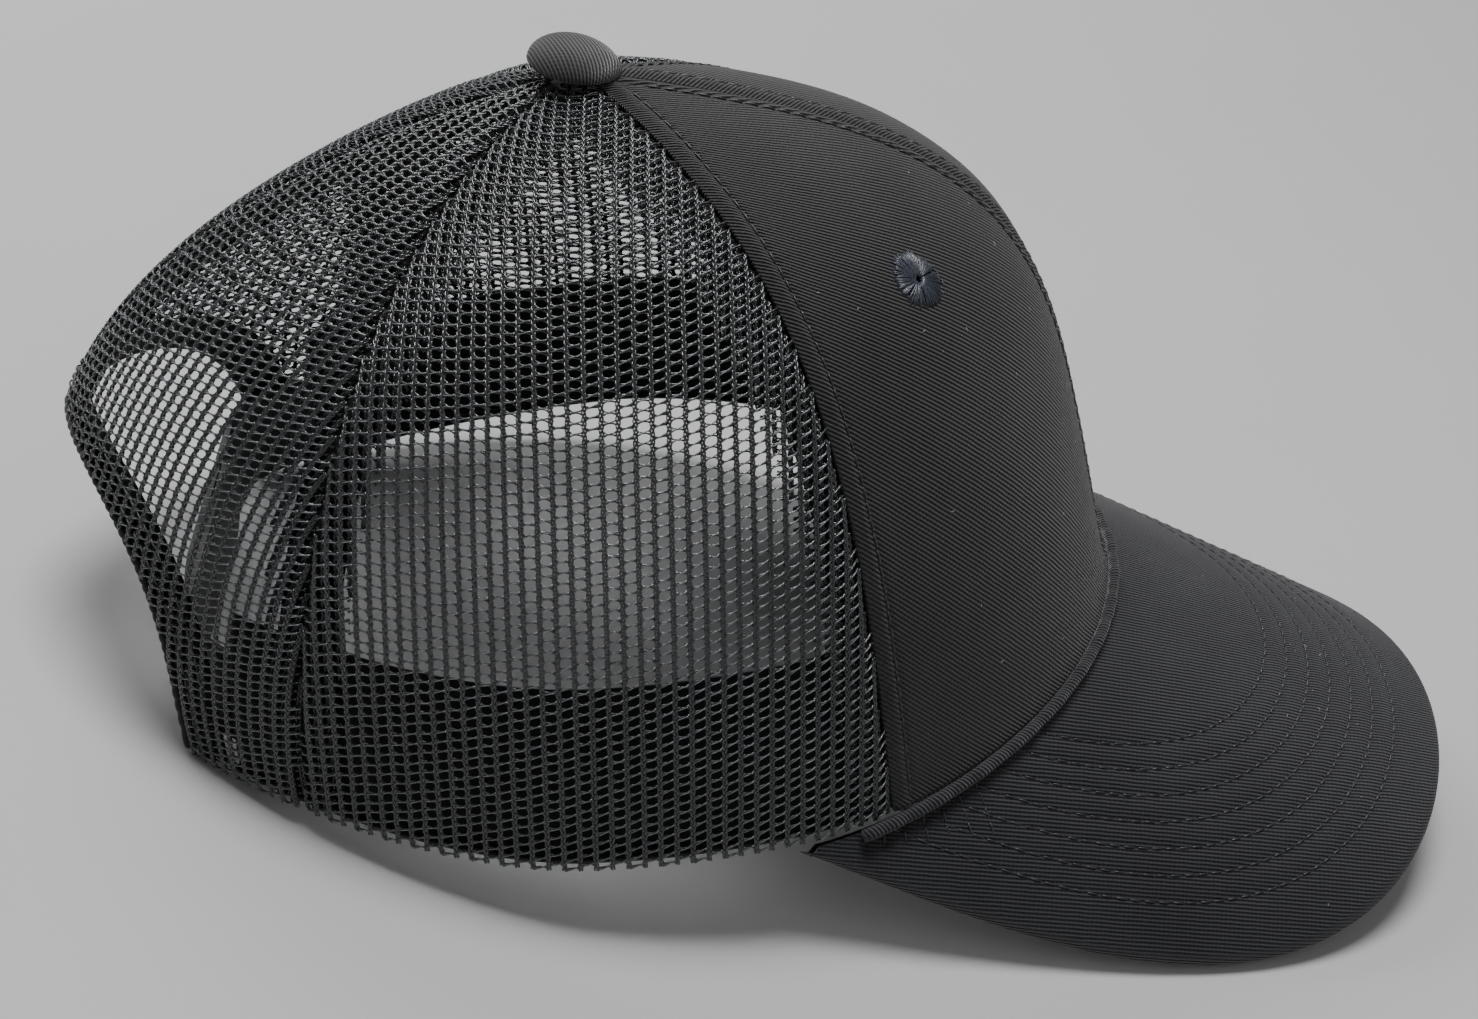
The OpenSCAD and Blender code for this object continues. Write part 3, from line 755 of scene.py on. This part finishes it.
FRONT_SEAM = (0, 0, 0)
BACK_SEAM = (180, 0, 0)
gores = {}
for side_name, side in SIDES.items():
    gores["front_" + side_name] = between(FRONT_SEAM, FRONT_SIDE_SEAM, side)
    gores["side_" + side_name] = between(FRONT_SIDE_SEAM, SIDE_BACK_SEAM, side)
    gores["back_" + side_name] = between(SIDE_BACK_SEAM, BACK_SEAM, side, True)
    knit_panel("side_mesh_" + side_name, gores["side_" + side_name])
    knit_panel("back_mesh_" + side_name, gores["back_" + side_name])

# Front panels, stiffeners and eyelets

EYELET_A = 32.5
EYELET_H = 80.5
EYELET_R = (4.4, 5.2)
EYELET_THREADS = 170
EYELET_THREAD_R = 0.16
VENT_R = 0.95
RIDGE_H = 0.3
GROOVE_DEPTH = 0.32
PUCKER_H = 0.1
FLARE_H = 0.5
STIFFENER_IN = 1.5
STIFFENER_TOP_IN = 22


def eyelet_frame(side):
    """The eyelet's centre, and the directions right, up and out of the cloth."""
    a = side * EYELET_A
    t = t_at_height(a, EYELET_H)
    centre, out = layer(a, t, 0)
    up = unit(stand(crown_flat(a, t + 0.01) - crown_flat(a, t), 0))
    return centre, unit(np.cross(up, out)), up, out


def cut_vent(obj, side):
    """Cuts the eyelet's round vent through a cloth piece."""
    centre, right, up, out = eyelet_frame(side)
    bpy.ops.mesh.primitive_cylinder_add(vertices=40, radius=VENT_R * MM, depth=12 * MM)
    drill = bpy.context.object
    turn = Matrix([[right[k], up[k], out[k]] for k in range(3)]).to_4x4()
    drill.matrix_world = Matrix.Translation(Vector(centre * MM)) @ turn
    cut = obj.modifiers.new("vent", "BOOLEAN")
    cut.operation = "DIFFERENCE"
    cut.solver = "EXACT"
    cut.object = drill
    bpy.context.view_layer.update()
    done = bpy.data.meshes.new_from_object(obj.evaluated_get(bpy.context.evaluated_depsgraph_get()))
    obj.modifiers.remove(cut)
    obj.data = done
    bpy.data.objects.remove(drill)


def front_panel(side_name, side):
    """Twill over the stiffener: it dips into both seams and lies proud over the seam allowances."""
    gore = gores["front_" + side_name]
    u, v = gore.grid(np.linspace(0, gore.v_top, 170), 120, SEAM_GAP)
    d = gore.from_seams(u, v)
    ridge = RIDGE_H / (1 + np.exp((d - TOPSTITCH_IN + 0.4) / 0.35))
    groove = GROOVE_DEPTH * bell(d - TOPSTITCH_IN, 0.5)
    pucker = PUCKER_H * bell(d - TOPSTITCH_IN, 2.2) * np.sin(2 * np.pi * v / STITCH_PITCH)
    flare = FLARE_H * bell(v, 2.5)
    outer = gore.place(u, v, ridge - groove + pucker + flare)[0]
    inner = gore.place(u, v, -PANEL_T)[0]
    name = "front_panel_" + side_name
    flat = np.stack([u, v], -1)
    obj = cloth(name + "_twill", outer, inner, flat, TWILL, (name,))
    cut_vent(obj, side)
    thread = Soup()
    line_v = np.arange(1.0, gore.v_top - 4, 0.4)
    for near_left in (True, False):
        edge = gore.left if near_left else gore.right
        line_u = np.interp(line_v, gore.v, edge) + (TOPSTITCH_IN if near_left else -TOPSTITCH_IN)
        width = np.interp(line_v, gore.v, gore.right - gore.left)
        keep = width > 2.4 * TOPSTITCH_IN
        sew(thread, *gore.place(line_u[keep], line_v[keep], -0.1))
    piece(name + "_topstitch", thread, THREAD)


def stiffener(side_name, side):
    """The buckram behind a front panel, which stops short of its seams and of the top."""
    gore = gores["front_" + side_name]
    u, v = gore.grid(np.linspace(0.5, gore.v_top - STIFFENER_TOP_IN, 60), 50, STIFFENER_IN)
    outer = gore.place(u, v, -STIFFENER[0])[0]
    inner = gore.place(u, v, -STIFFENER[1])[0]
    name = "front_stiffener_" + side_name
    flat = np.stack([u, v], -1)
    obj = cloth(name + "_buckram", outer, inner, flat, BUCKRAM, (name,))
    cut_vent(obj, side)


def eyelet(side_name, side):
    """Embroidered eyelet: radial threads of uneven length over a low ring, round the vent."""
    centre, right, up, out = eyelet_frame(side)
    each = (EYELET_THREADS, 1)
    angle = np.sort(random.uniform(0, 2 * np.pi, EYELET_THREADS))
    share = np.linspace(0, 1, 7)
    reach = 1 + random.normal(0, 0.045, each)
    inner_r = 0.62 * VENT_R + random.uniform(0, 0.16, each)
    turn = angle[:, None] + random.normal(0, 0.05, each) * share
    radius_x = lerp(inner_r, EYELET_R[0] * reach, share)
    radius_y = lerp(inner_r, EYELET_R[1] * reach, share)
    level = 0.25 + random.uniform(0, 0.22, each)
    rise = level * np.sin(np.pi * np.clip(share * 0.9 + 0.1, 0, 1)) ** 0.6 - 0.25 * share**3
    across = (radius_x * np.cos(turn))[..., None] * right
    path = centre + across + (radius_y * np.sin(turn))[..., None] * up + rise[..., None] * out
    soup = Soup().add(*tubes(path, np.broadcast_to(out, path.shape), EYELET_THREAD_R, 5))
    name = "eyelet_" + side_name
    piece(name + "_thread", soup, EYELET_THREAD, (name,))


for side_name, side in SIDES.items():
    front_panel(side_name, side)
    stiffener(side_name, side)
    eyelet(side_name, side)

# Tapes, binding, sweatband, hem and label


TAPE_COLS = 13
TAPE_FINE = 81


def tape(name, line, h_start):
    """A tape over a seam inside, with a row of stitches near each edge."""
    low = float(t_at_height(line(0.0), h_start))
    high = float(t_where(line(1.0), TAPE_TOP_R, 0))
    t = np.linspace(low, high, 90)[:, None]
    a = line(t)
    radius = meridian(a, t)[0]
    half = np.minimum(TAPE_W / 2, 0.5 * radius)
    across = half * np.linspace(-1, 1, TAPE_COLS)
    near = a + np.degrees(2.5 * half / radius) * np.linspace(-1, 1, TAPE_FINE)
    run = run_along(crown_flat(near, np.broadcast_to(t, near.shape)), 1)
    angles = np.array([np.interp(x, r - r[TAPE_FINE // 2], n) for x, r, n in zip(across, run, near)])
    outer = layer(angles, t, TAPE[0])[0]
    inner, normal = layer(angles, t, TAPE[1])
    flat = np.stack(np.broadcast_arrays(across, run_along(outer[:, TAPE_COLS // 2], 0)[:, None]), -1)
    obj = cloth(name + "_cloth", outer, inner, flat, TAPE_CLOTH, (name,))
    thread = Soup()
    for column in (1, -2):
        sew(thread, inner[:, column], -normal[:, column])
    piece(name + "_stitches", thread, THREAD)


tape("front_seam_tape", lambda t: 0 * t, HEM_H)
tape("back_seam_tape", lambda t: 180 + 0 * t, ARCH_H + HEM_H)
for side_name, side in SIDES.items():
    tape("front_side_tape_" + side_name, seam_line(FRONT_SIDE_SEAM, side), HEM_H)
    tape("side_back_tape_" + side_name, seam_line(SIDE_BACK_SEAM, side), HEM_H)


ARCH_TAPE_ROWS = 9
BINDING_R = 0.95
BINDING_DEPTH = 0.75
BINDING_COUNT = 500
ARCH_STITCH_IN = (3.0, 5.5)


def arch_line(out, count=240):
    """Angle and height round the arch, from the wearer's right to left. Angles pass 180 on the right."""
    turn = np.linspace(0, 180, count)
    b, h = arch_edge(90 - np.abs(turn - 90), out)
    return 180 + np.sign(90 - turn) * b, np.maximum(h, HEM_H)


def arch_tape():
    """The tape inside round the arch, its rolled binding on the edge, and its stitches."""
    in_from_edge = np.linspace(0.2, ARCH_TAPE_W, ARCH_TAPE_ROWS)
    a, h = np.moveaxis(np.array([arch_line(out) for out in in_from_edge]), 1, 0)
    t = t_at_height(a, h)
    outer = layer(a, t, ARCH_TAPE[0])[0][:, ::-1]
    inner = layer(a, t, ARCH_TAPE[1])[0][:, ::-1]
    across = np.linspace(0, ARCH_TAPE_W, ARCH_TAPE_ROWS)[:, None]
    flat = np.stack(np.broadcast_arrays(run_along(outer, 1), across), -1)
    cloth("arch_tape_cloth", outer, inner, flat, TAPE_CLOTH, ("arch_tape",))
    a, h = arch_line(0.1, BINDING_COUNT)
    path, normal = layer(a, t_at_height(a, h), BINDING_DEPTH)
    path = path + 0.12 * np.sin(np.arange(BINDING_COUNT) * 0.9)[:, None] * normal
    piece("arch_binding", Soup().add(*tubes(path[None], normal[None], BINDING_R, 10)), TAPE_CLOTH)
    thread = Soup()
    for out in ARCH_STITCH_IN:
        a, h = arch_line(out, BINDING_COUNT)
        sew(thread, *layer(a, t_at_height(a, h), -0.25))
    piece("arch_stitches", thread, THREAD)


arch_tape()


BAND_CELLS = (420, 28)
BAND_STITCH_H = (3.2, SWEATBAND_H - 2.2)
HEM_OUTER_DEPTH = (0.75, SWEATBAND[1] + 0.2)
HEM_INNER_DEPTH = (1.25, SWEATBAND[1] - 0.3)
HEM_TOP = 1.9
HEM_BOTTOM = 0.15
HEM_T = 0.5
HEM_TURN_R = 2.5
LABEL_A = (-119, -105)
LABEL_H = (9, 29)
LABEL_CURL = 0.35
LABEL_CURL_FROM = 20


def rim_hem():
    """The folded hem that closes the rim under the sweatband."""
    turn = np.radians(np.linspace(0, 180, 13))[:, None]
    a = np.linspace(-ROOT_A, ROOT_A, 500)[None]
    inward = (1 - np.cos(turn)) / 2
    a, h, inward = np.broadcast_arrays(a, HEM_TOP - (HEM_TOP - HEM_BOTTOM) * np.sin(turn), inward)
    outer = layer(a, t_at_height(a, h), lerp(*HEM_OUTER_DEPTH, inward))[0]
    inner = layer(a, t_at_height(a, h + HEM_T * np.sin(turn)), lerp(*HEM_INNER_DEPTH, inward))[0]
    flat = np.stack(np.broadcast_arrays(run_along(outer, 1), turn * HEM_TURN_R), -1)
    return cloth("rim_hem", outer[::-1], inner[::-1], flat[::-1], BAND_CLOTH)


def sweatband():
    """The sweatband, with its rows of stitches and the hem below it."""

    def puff(a, h):
        edge = np.minimum(h - HEM_H, SWEATBAND_H - h)
        return -0.5 + 0.5 * np.clip(edge / 2.5, 0, 1) ** 0.5 + 0.08 * np.sin(a * 1.7) * np.sin(h / 5)

    outer, inner, flat = strip((-ROOT_A, ROOT_A), (HEM_H, SWEATBAND_H), SWEATBAND, BAND_CELLS, puff)
    obj = cloth("sweatband_cloth", outer, inner, flat, BAND_CLOTH, ("sweatband",))
    thread = Soup()
    a = np.linspace(1 - ROOT_A, ROOT_A - 1, 1500)
    for h in BAND_STITCH_H:
        path, normal = layer(a, t_at_height(a, h), SWEATBAND[1])
        sew(thread, path, -normal)
    stitches = piece("sweatband_stitches", thread, THREAD)
    rim_hem()


def size_label():
    """A blank satin label against the sweatband, whose top end curls inward."""

    def curl(_, h):
        return LABEL_CURL * np.clip((h - LABEL_CURL_FROM) / (LABEL_H[1] - LABEL_CURL_FROM), 0, 1) ** 2

    outer, inner, flat = strip(LABEL_A, LABEL_H, LABEL, (40, 30), curl)
    cloth("size_label_satin", outer, inner, flat, LABEL_CLOTH, ("size_label",))


sweatband()
size_label()

# Visor


def visor_point(s, y, depth):
    """A point on the visor at arc length s across from the middle, and y, under its top surface."""
    x = VISOR_CURVE_R * np.sin(s / VISOR_CURVE_R)
    slope = x / np.sqrt(VISOR_CURVE_R**2 - x * x)
    normal = unit(np.stack(np.broadcast_arrays(slope, -VISOR_DROP, 1.0), -1))
    z = visor_z(np.stack([x, y], -1))
    depth = np.broadcast_to(depth, x.shape)[..., None]
    return stand(np.stack([x, y, z], -1) - depth * normal), stand(normal, 0)


def arc_across(x):
    return VISOR_CURVE_R * np.arcsin(x / VISOR_CURVE_R)


def visor_root(k, out):
    a = k * VISOR_END_A
    xy = rim_xy(a) + out * unit(rim_xy(a) - TOP_XY)
    return arc_across(xy[..., 0]), xy[..., 1]


def visor_edge(k, inset):
    end = rim_xy(VISOR_END_A)
    w = 180 * np.abs(k)
    half_w = VISOR_HALF_W - inset
    tip_s = arc_across(end[0]) + VISOR_TIP
    tip_y = end[1] + VISOR_TIP - inset
    front = w <= 90
    s = np.where(front, half_w * np.abs(sin_deg(w)) ** (2 / VISOR_SQUARE[0]), lerp(tip_s, half_w, sin_deg(w)))
    y = np.where(front, -VISOR_WIDE_Y - (VISOR_REACH - inset) * np.abs(cos_deg(w)) ** (2 / VISOR_SQUARE[1]),
                 -VISOR_WIDE_Y - (tip_y + VISOR_WIDE_Y) * cos_deg(w))
    return s * np.sign(k), y


ROW_FIRST_IN = 10.4
ROW_STEP = 4.5
ROW_COUNT = 7
ROW_CLEAR = 1.2
ROW_DEPTH = 0.22
DENT_DEPTH = 0.3
DENT_W = 0.8


def stitch_rows():
    """The visor's nested rows of stitching, as lists of s and y, up to where the crown covers them."""
    rows = []
    around_rim = np.linspace(-110, 110, 700)
    rim = rim_xy(around_rim) - TOP_XY
    rim_turn = np.arctan2(rim[:, 0], -rim[:, 1])
    rim_r = np.linalg.norm(rim, axis=1)
    for n in range(ROW_COUNT):
        k = np.linspace(-0.86, 0.86, 1600)
        s, y = visor_edge(k, ROW_FIRST_IN + n * ROW_STEP)
        x = VISOR_CURVE_R * np.sin(s / VISOR_CURVE_R)
        from_top = np.stack([x, y], -1) - TOP_XY
        turn = np.arctan2(from_top[:, 0], -from_top[:, 1])
        clear = np.linalg.norm(from_top, axis=1) > np.interp(turn, rim_turn, rim_r) + ROW_CLEAR
        rows.append((s[clear], y[clear]))
    return rows


def dents(s, y, rows):
    """How far the stitch rows pull the cloth in at each place, from 0 to 1."""
    depth = np.zeros(s.shape)
    for row_s, row_y in rows:
        for i in range(len(s)):
            gap = np.hypot(s[i][:, None] - row_s[::3], y[i][:, None] - row_y[::3]).min(1)
            depth[i] = np.maximum(depth[i], bell(gap, DENT_W))
    return depth


def visor_cloth(under, rows):
    """Outer, inner and flat grid of one visor cloth, from the crown out and round half of the edge."""
    half_t = VISOR_T / 2
    cols, flat_rows, edge_rows = 260, 76, 9
    k = np.linspace(-1, 1, cols)[None]
    share = np.linspace(0, 1, flat_rows)[:, None]
    place = lerp(np.array(visor_root(k, 0.4)), np.array(visor_edge(k, half_t)), share)
    turn = np.radians(np.linspace(0, 88, edge_rows + 1)[1:])[:, None]

    def round_edge(t):
        insets = half_t - (half_t - t) * np.sin(turn[:, 0])
        return np.concatenate([place] + [visor_edge(k, inset) for inset in insets], axis=1)

    def depths(flat_part, t):
        curved = half_t - (half_t - t) * np.cos(turn)
        return np.concatenate([flat_part, np.broadcast_to(curved, (edge_rows, cols))])

    pulled = DENT_DEPTH * dents(*place, rows)
    out_depth = depths(pulled, 0)
    in_depth = depths(np.full(pulled.shape, VISOR_CLOTH_T), VISOR_CLOTH_T)
    out_place = round_edge(0)
    flat = np.stack(out_place, -1)
    run = run_along(flat, 0)
    flat[flat_rows:, :, 1] -= run[flat_rows:] - run[flat_rows - 1] + out_depth[flat_rows:]
    if under:
        out_depth, in_depth = VISOR_T - out_depth, VISOR_T - in_depth
    outer = visor_point(*out_place, out_depth)[0]
    inner = visor_point(*round_edge(VISOR_CLOTH_T), in_depth)[0]
    turned = 1 if under else -1
    return outer[::turned], inner[::turned], flat[::turned]


def visor():
    """The two visor cloths with their rows of stitching."""
    rows = stitch_rows()
    sides = (("visor_top", False, ROW_DEPTH, 1), ("visor_under", True, VISOR_T - ROW_DEPTH, -1))
    for name, under, depth, out in sides:
        thread = Soup()
        for s, y in rows:
            path, normal = visor_point(s, y, depth)
            sew(thread, path, out * normal)
        stitches = piece(name + "_stitches", thread, THREAD)
        outer, inner, flat = visor_cloth(under, rows)
        obj = cloth(name + "_twill", outer, inner, flat, VISOR_CLOTH, (name + "_cloth",))


def seam_roll():
    """The rolled cloth edge in the corner between the visor and the crown."""
    k = np.linspace(-ROLL_REACH, ROLL_REACH, 420)
    s, y = visor_root(k, ROLL_OUT)
    uneven = 0.1 * np.sin(k * 61) + 0.07 * np.sin(k * 143 + 1)
    path, normal = visor_point(s, y, -(ROLL_R + 0.3 + uneven))
    sides = 14
    points, faces = tubes(path[None], normal[None], ROLL_R + 0.25 * uneven[None], sides)
    girth = np.linspace(0, 2 * np.pi * ROLL_R, sides, endpoint=False)
    flat = np.stack(np.broadcast_arrays(run_along(path, 0)[:, None], girth), -1)
    piece("visor_seam_roll_twill", Soup().add(points, faces, flat), VISOR_CLOTH,
          ("visor_seam_roll",))


visor()
seam_roll()

# Button

BUTTON_R = 8.2
BUTTON_H = 4.6
BUTTON_LIFT = 0.2
BUTTON_BACK = 0.9
BUTTON_TILT = 10
BUTTON_LIP = 1.4
BUTTON_CLOTH_T = 0.5
BUTTON_EASE = 0.15
BUTTON_FOOT = 0.5
FOLD_TURN = 262
FOLD_W = 11
FOLD_H = 0.35


def button():
    """The twill-covered button: the cloth is drawn over the edge and has one fold."""
    phi = np.linspace(0, 2 * np.pi, 97)[:-1]
    e = np.radians(np.concatenate([np.linspace(89.9, 0, 34), np.linspace(-12, -75, 8)]))
    tilt_c, tilt_s = math.cos(math.radians(BUTTON_TILT)), math.sin(math.radians(BUTTON_TILT))

    def skin(depth):
        radius = (BUTTON_R + BUTTON_EASE - depth) * np.cos(e) ** 0.8
        dome = (BUTTON_H - BUTTON_FOOT - depth) * np.abs(np.sin(e)) ** 0.95
        return radius, np.where(e > 0, dome, (BUTTON_LIP - depth) * np.sin(e)) + BUTTON_FOOT

    outer_r, outer_z = skin(0)
    inner_r, inner_z = skin(BUTTON_CLOTH_T)
    run = run_along(np.stack([outer_r, outer_z], -1), 0)
    fold = bell(np.degrees(phi)[:, None] - FOLD_TURN, FOLD_W) * np.clip(run / 8, 0, 1) ** 2
    bumps = 0.12 * np.sin(3 * phi[:, None] + 1) * np.clip(run / 7, 0, 1) + FOLD_H * fold

    def ring(radius, height, swell):
        x = (radius + swell) * np.cos(phi)[:, None]
        y = (radius + swell) * np.sin(phi)[:, None]
        tilted = np.stack([x, y * tilt_c - height * tilt_s, y * tilt_s + height * tilt_c], -1)
        return stand(tilted + [TOP_XY[0], TOP_XY[1] + BUTTON_BACK, CROWN_H + BUTTON_LIFT])

    outer = ring(outer_r, outer_z, bumps)
    inner = ring(inner_r, inner_z, bumps * 0.6)
    flat = np.stack(np.broadcast_arrays(run * np.cos(phi)[:, None], run * np.sin(phi)[:, None]), -1)
    count, steps = len(phi), len(e)
    grid = np.arange(count * steps).reshape(count, steps)
    after = np.roll(grid, -1, 0)
    skin_faces = np.stack([grid[:, :-1], grid[:, 1:], after[:, 1:], after[:, :-1]], -1).reshape(-1, 4)
    lip = np.stack([grid[:, -1], grid[:, -1] + count * steps, after[:, -1] + count * steps, after[:, -1]], -1)
    caps = [grid[:, 0][None], grid[::-1, 0][None] + count * steps]
    points = np.concatenate([outer.reshape(-1, 3), inner.reshape(-1, 3)])
    faces = [skin_faces, skin_faces[:, ::-1] + count * steps, lip] + caps
    cover = Soup().add(points, faces, np.concatenate([flat.reshape(-1, 2)] * 2))
    piece("button_twill", cover, BUTTON_CLOTH, ("button_cover",))


button()

# Snap strap's sewn ends


def bezier(a, b, c, d, f):
    f = f[:, None]
    return a * (1 - f) ** 3 + 3 * b * f * (1 - f) ** 2 + 3 * c * f * f * (1 - f) + d * f**3


def root_wall(a, z):
    """The place in plan where a strap lies against the sweatband's side of the crown."""
    t = t_at_height(a, z)
    return (crown_flat(a, t) - ROOT_DEPTH * crown_normal(a, t))[:2]


def strap_root(name, side, bend_y):
    """The curved end of one strap, from where it is sewn in to its bend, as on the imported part."""
    f = np.linspace(0, 1, 60)
    bend = np.array([STRAP_BEND_X + STRAP_T / 2 + STRAP_GAP, bend_y])
    faces = {0.5: [], -0.5: []}
    for z in np.linspace(STRAP_Z, STRAP_Z + STRAP_H, 12):
        start = root_wall(ROOT_A, z)
        way = unit(root_wall(ROOT_A + 1, z) - root_wall(ROOT_A - 1, z))
        path = bezier(start, start + ROOT_HANDLE * way, bend + [ROOT_HANDLE, 0], bend, f)
        along = unit(np.gradient(path, axis=0))
        for half, rows in faces.items():
            at = path + half * STRAP_T * np.stack([along[:, 1], -along[:, 0]], -1)
            at[:, 0] *= side
            rows.append(np.column_stack([at, np.full(len(at), z)]))
    outer, inner = (stand(np.array(rows)) for rows in faces.values())
    if side < 0:
        outer, inner = outer[:, ::-1], inner[:, ::-1]
    piece(name + "_plastic", Soup().add(*shell(outer, inner)), STRAP_PLASTIC, (name,))


strap_root("strap_holes_root", 1, STRAP_Y + STRAP_T + STRAP_GAP)
strap_root("strap_posts_root", -1, STRAP_Y)

# Lint, and the materials of the CAD nodes that stay

LINT_COUNT = 60
LINT_R = 0.035
LINT_CLOTH = yarn_material("lint", (0.3, 0.3, 0.28), (0.6, 0.6, 0.56), 0.6)


def lint():
    """Specks and short fibres of lint caught on the front panels and the visor."""
    soup = Soup()
    share = np.linspace(0, 1, 5)
    for n in range(LINT_COUNT):
        length = random.uniform(0.2, 1.1)
        turn = random.uniform(0, 2 * np.pi) + random.uniform(-1.2, 1.2) * share
        du = np.cumsum(np.cos(turn)) * length / 5
        dv = np.cumsum(np.sin(turn)) * length / 5
        if n % 3:
            gore = gores["front_" + ("left" if n % 2 else "right")]
            path, normal = gore.place(random.uniform(-25, 25) + du, random.uniform(8, 105) + dv, 0.16)
        else:
            path, normal = visor_point(random.uniform(-70, 70) + du, random.uniform(-150, -118) + dv, -0.1)
        soup.add(*tubes(path[None], normal[None], LINT_R))
    piece("lint_fibres", soup, LINT_CLOTH)


lint()


def give(material, *names):
    """Puts a material on CAD nodes that stay as they are."""
    for name in names:
        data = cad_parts[name].data
        data.materials.clear()
        data.materials.append(material)


give(STRAP_PLASTIC, "strap_holes", "strap_posts")
give(METAL, "button_shell", "button_back")
give(BOARD_PLASTIC, "visor_board")

# Stage, light and camera


LOOK_AT = (0, -0.02, 0.05)


def floor():
    """A plain pale cloth-like floor."""
    n = Nodes("floor", Specular_IOR_Level=0.2)
    soft = n.noise(3, 3.0)
    fine = n.noise(900, 2.0)
    n.finish(n.mix(soft, (0.33, 0.33, 0.335), (0.39, 0.39, 0.395)), 0.9, fine, 0.0002, 0.15)
    bpy.ops.mesh.primitive_plane_add(size=6)
    obj = bpy.context.object
    obj.name = "floor"
    obj.data.materials.append(n.material)


def area_light(name, place, size, power):
    """A round soft light that faces the cap."""
    data = bpy.data.lights.new(name, "AREA")
    data.shape = "DISK"
    data.size = size
    data.energy = power
    obj = show(name, data)
    obj.location = place
    obj.rotation_euler = (Vector(LOOK_AT) - Vector(place)).to_track_quat("-Z", "Y").to_euler()


def camera():
    """Stands on the wearer's right, close and from above."""
    place = Vector((-0.4396, 0.0324, 0.3218))
    forward = Vector((0.8376, -0.1026, -0.5366)).normalized()
    up = Vector((0.5463, 0.1495, 0.8242))
    right = forward.cross(up).normalized()
    up = right.cross(forward)
    data = bpy.data.cameras.new("camera")
    data.sensor_width = 36
    data.lens = 65.37
    data.clip_start = 0.01
    obj = show("camera", data)
    obj.matrix_world = Matrix.Translation(place) @ Matrix([right, up, -forward]).transposed().to_4x4()
    bpy.context.scene.camera = obj


floor()
area_light("key", (0.05, 0.12, 1.35), 0.6, 25)
area_light("back", (0.85, 0.5, 0.75), 0.7, 9)
area_light("fill", (-0.9, -0.7, 0.9), 1.4, 3)
world = bpy.data.worlds.new("world")
world.use_nodes = True
background = world.node_tree.nodes["Background"].inputs
background["Color"].default_value = (1, 1, 1, 1)
background["Strength"].default_value = 0.27
bpy.context.scene.world = world
camera()
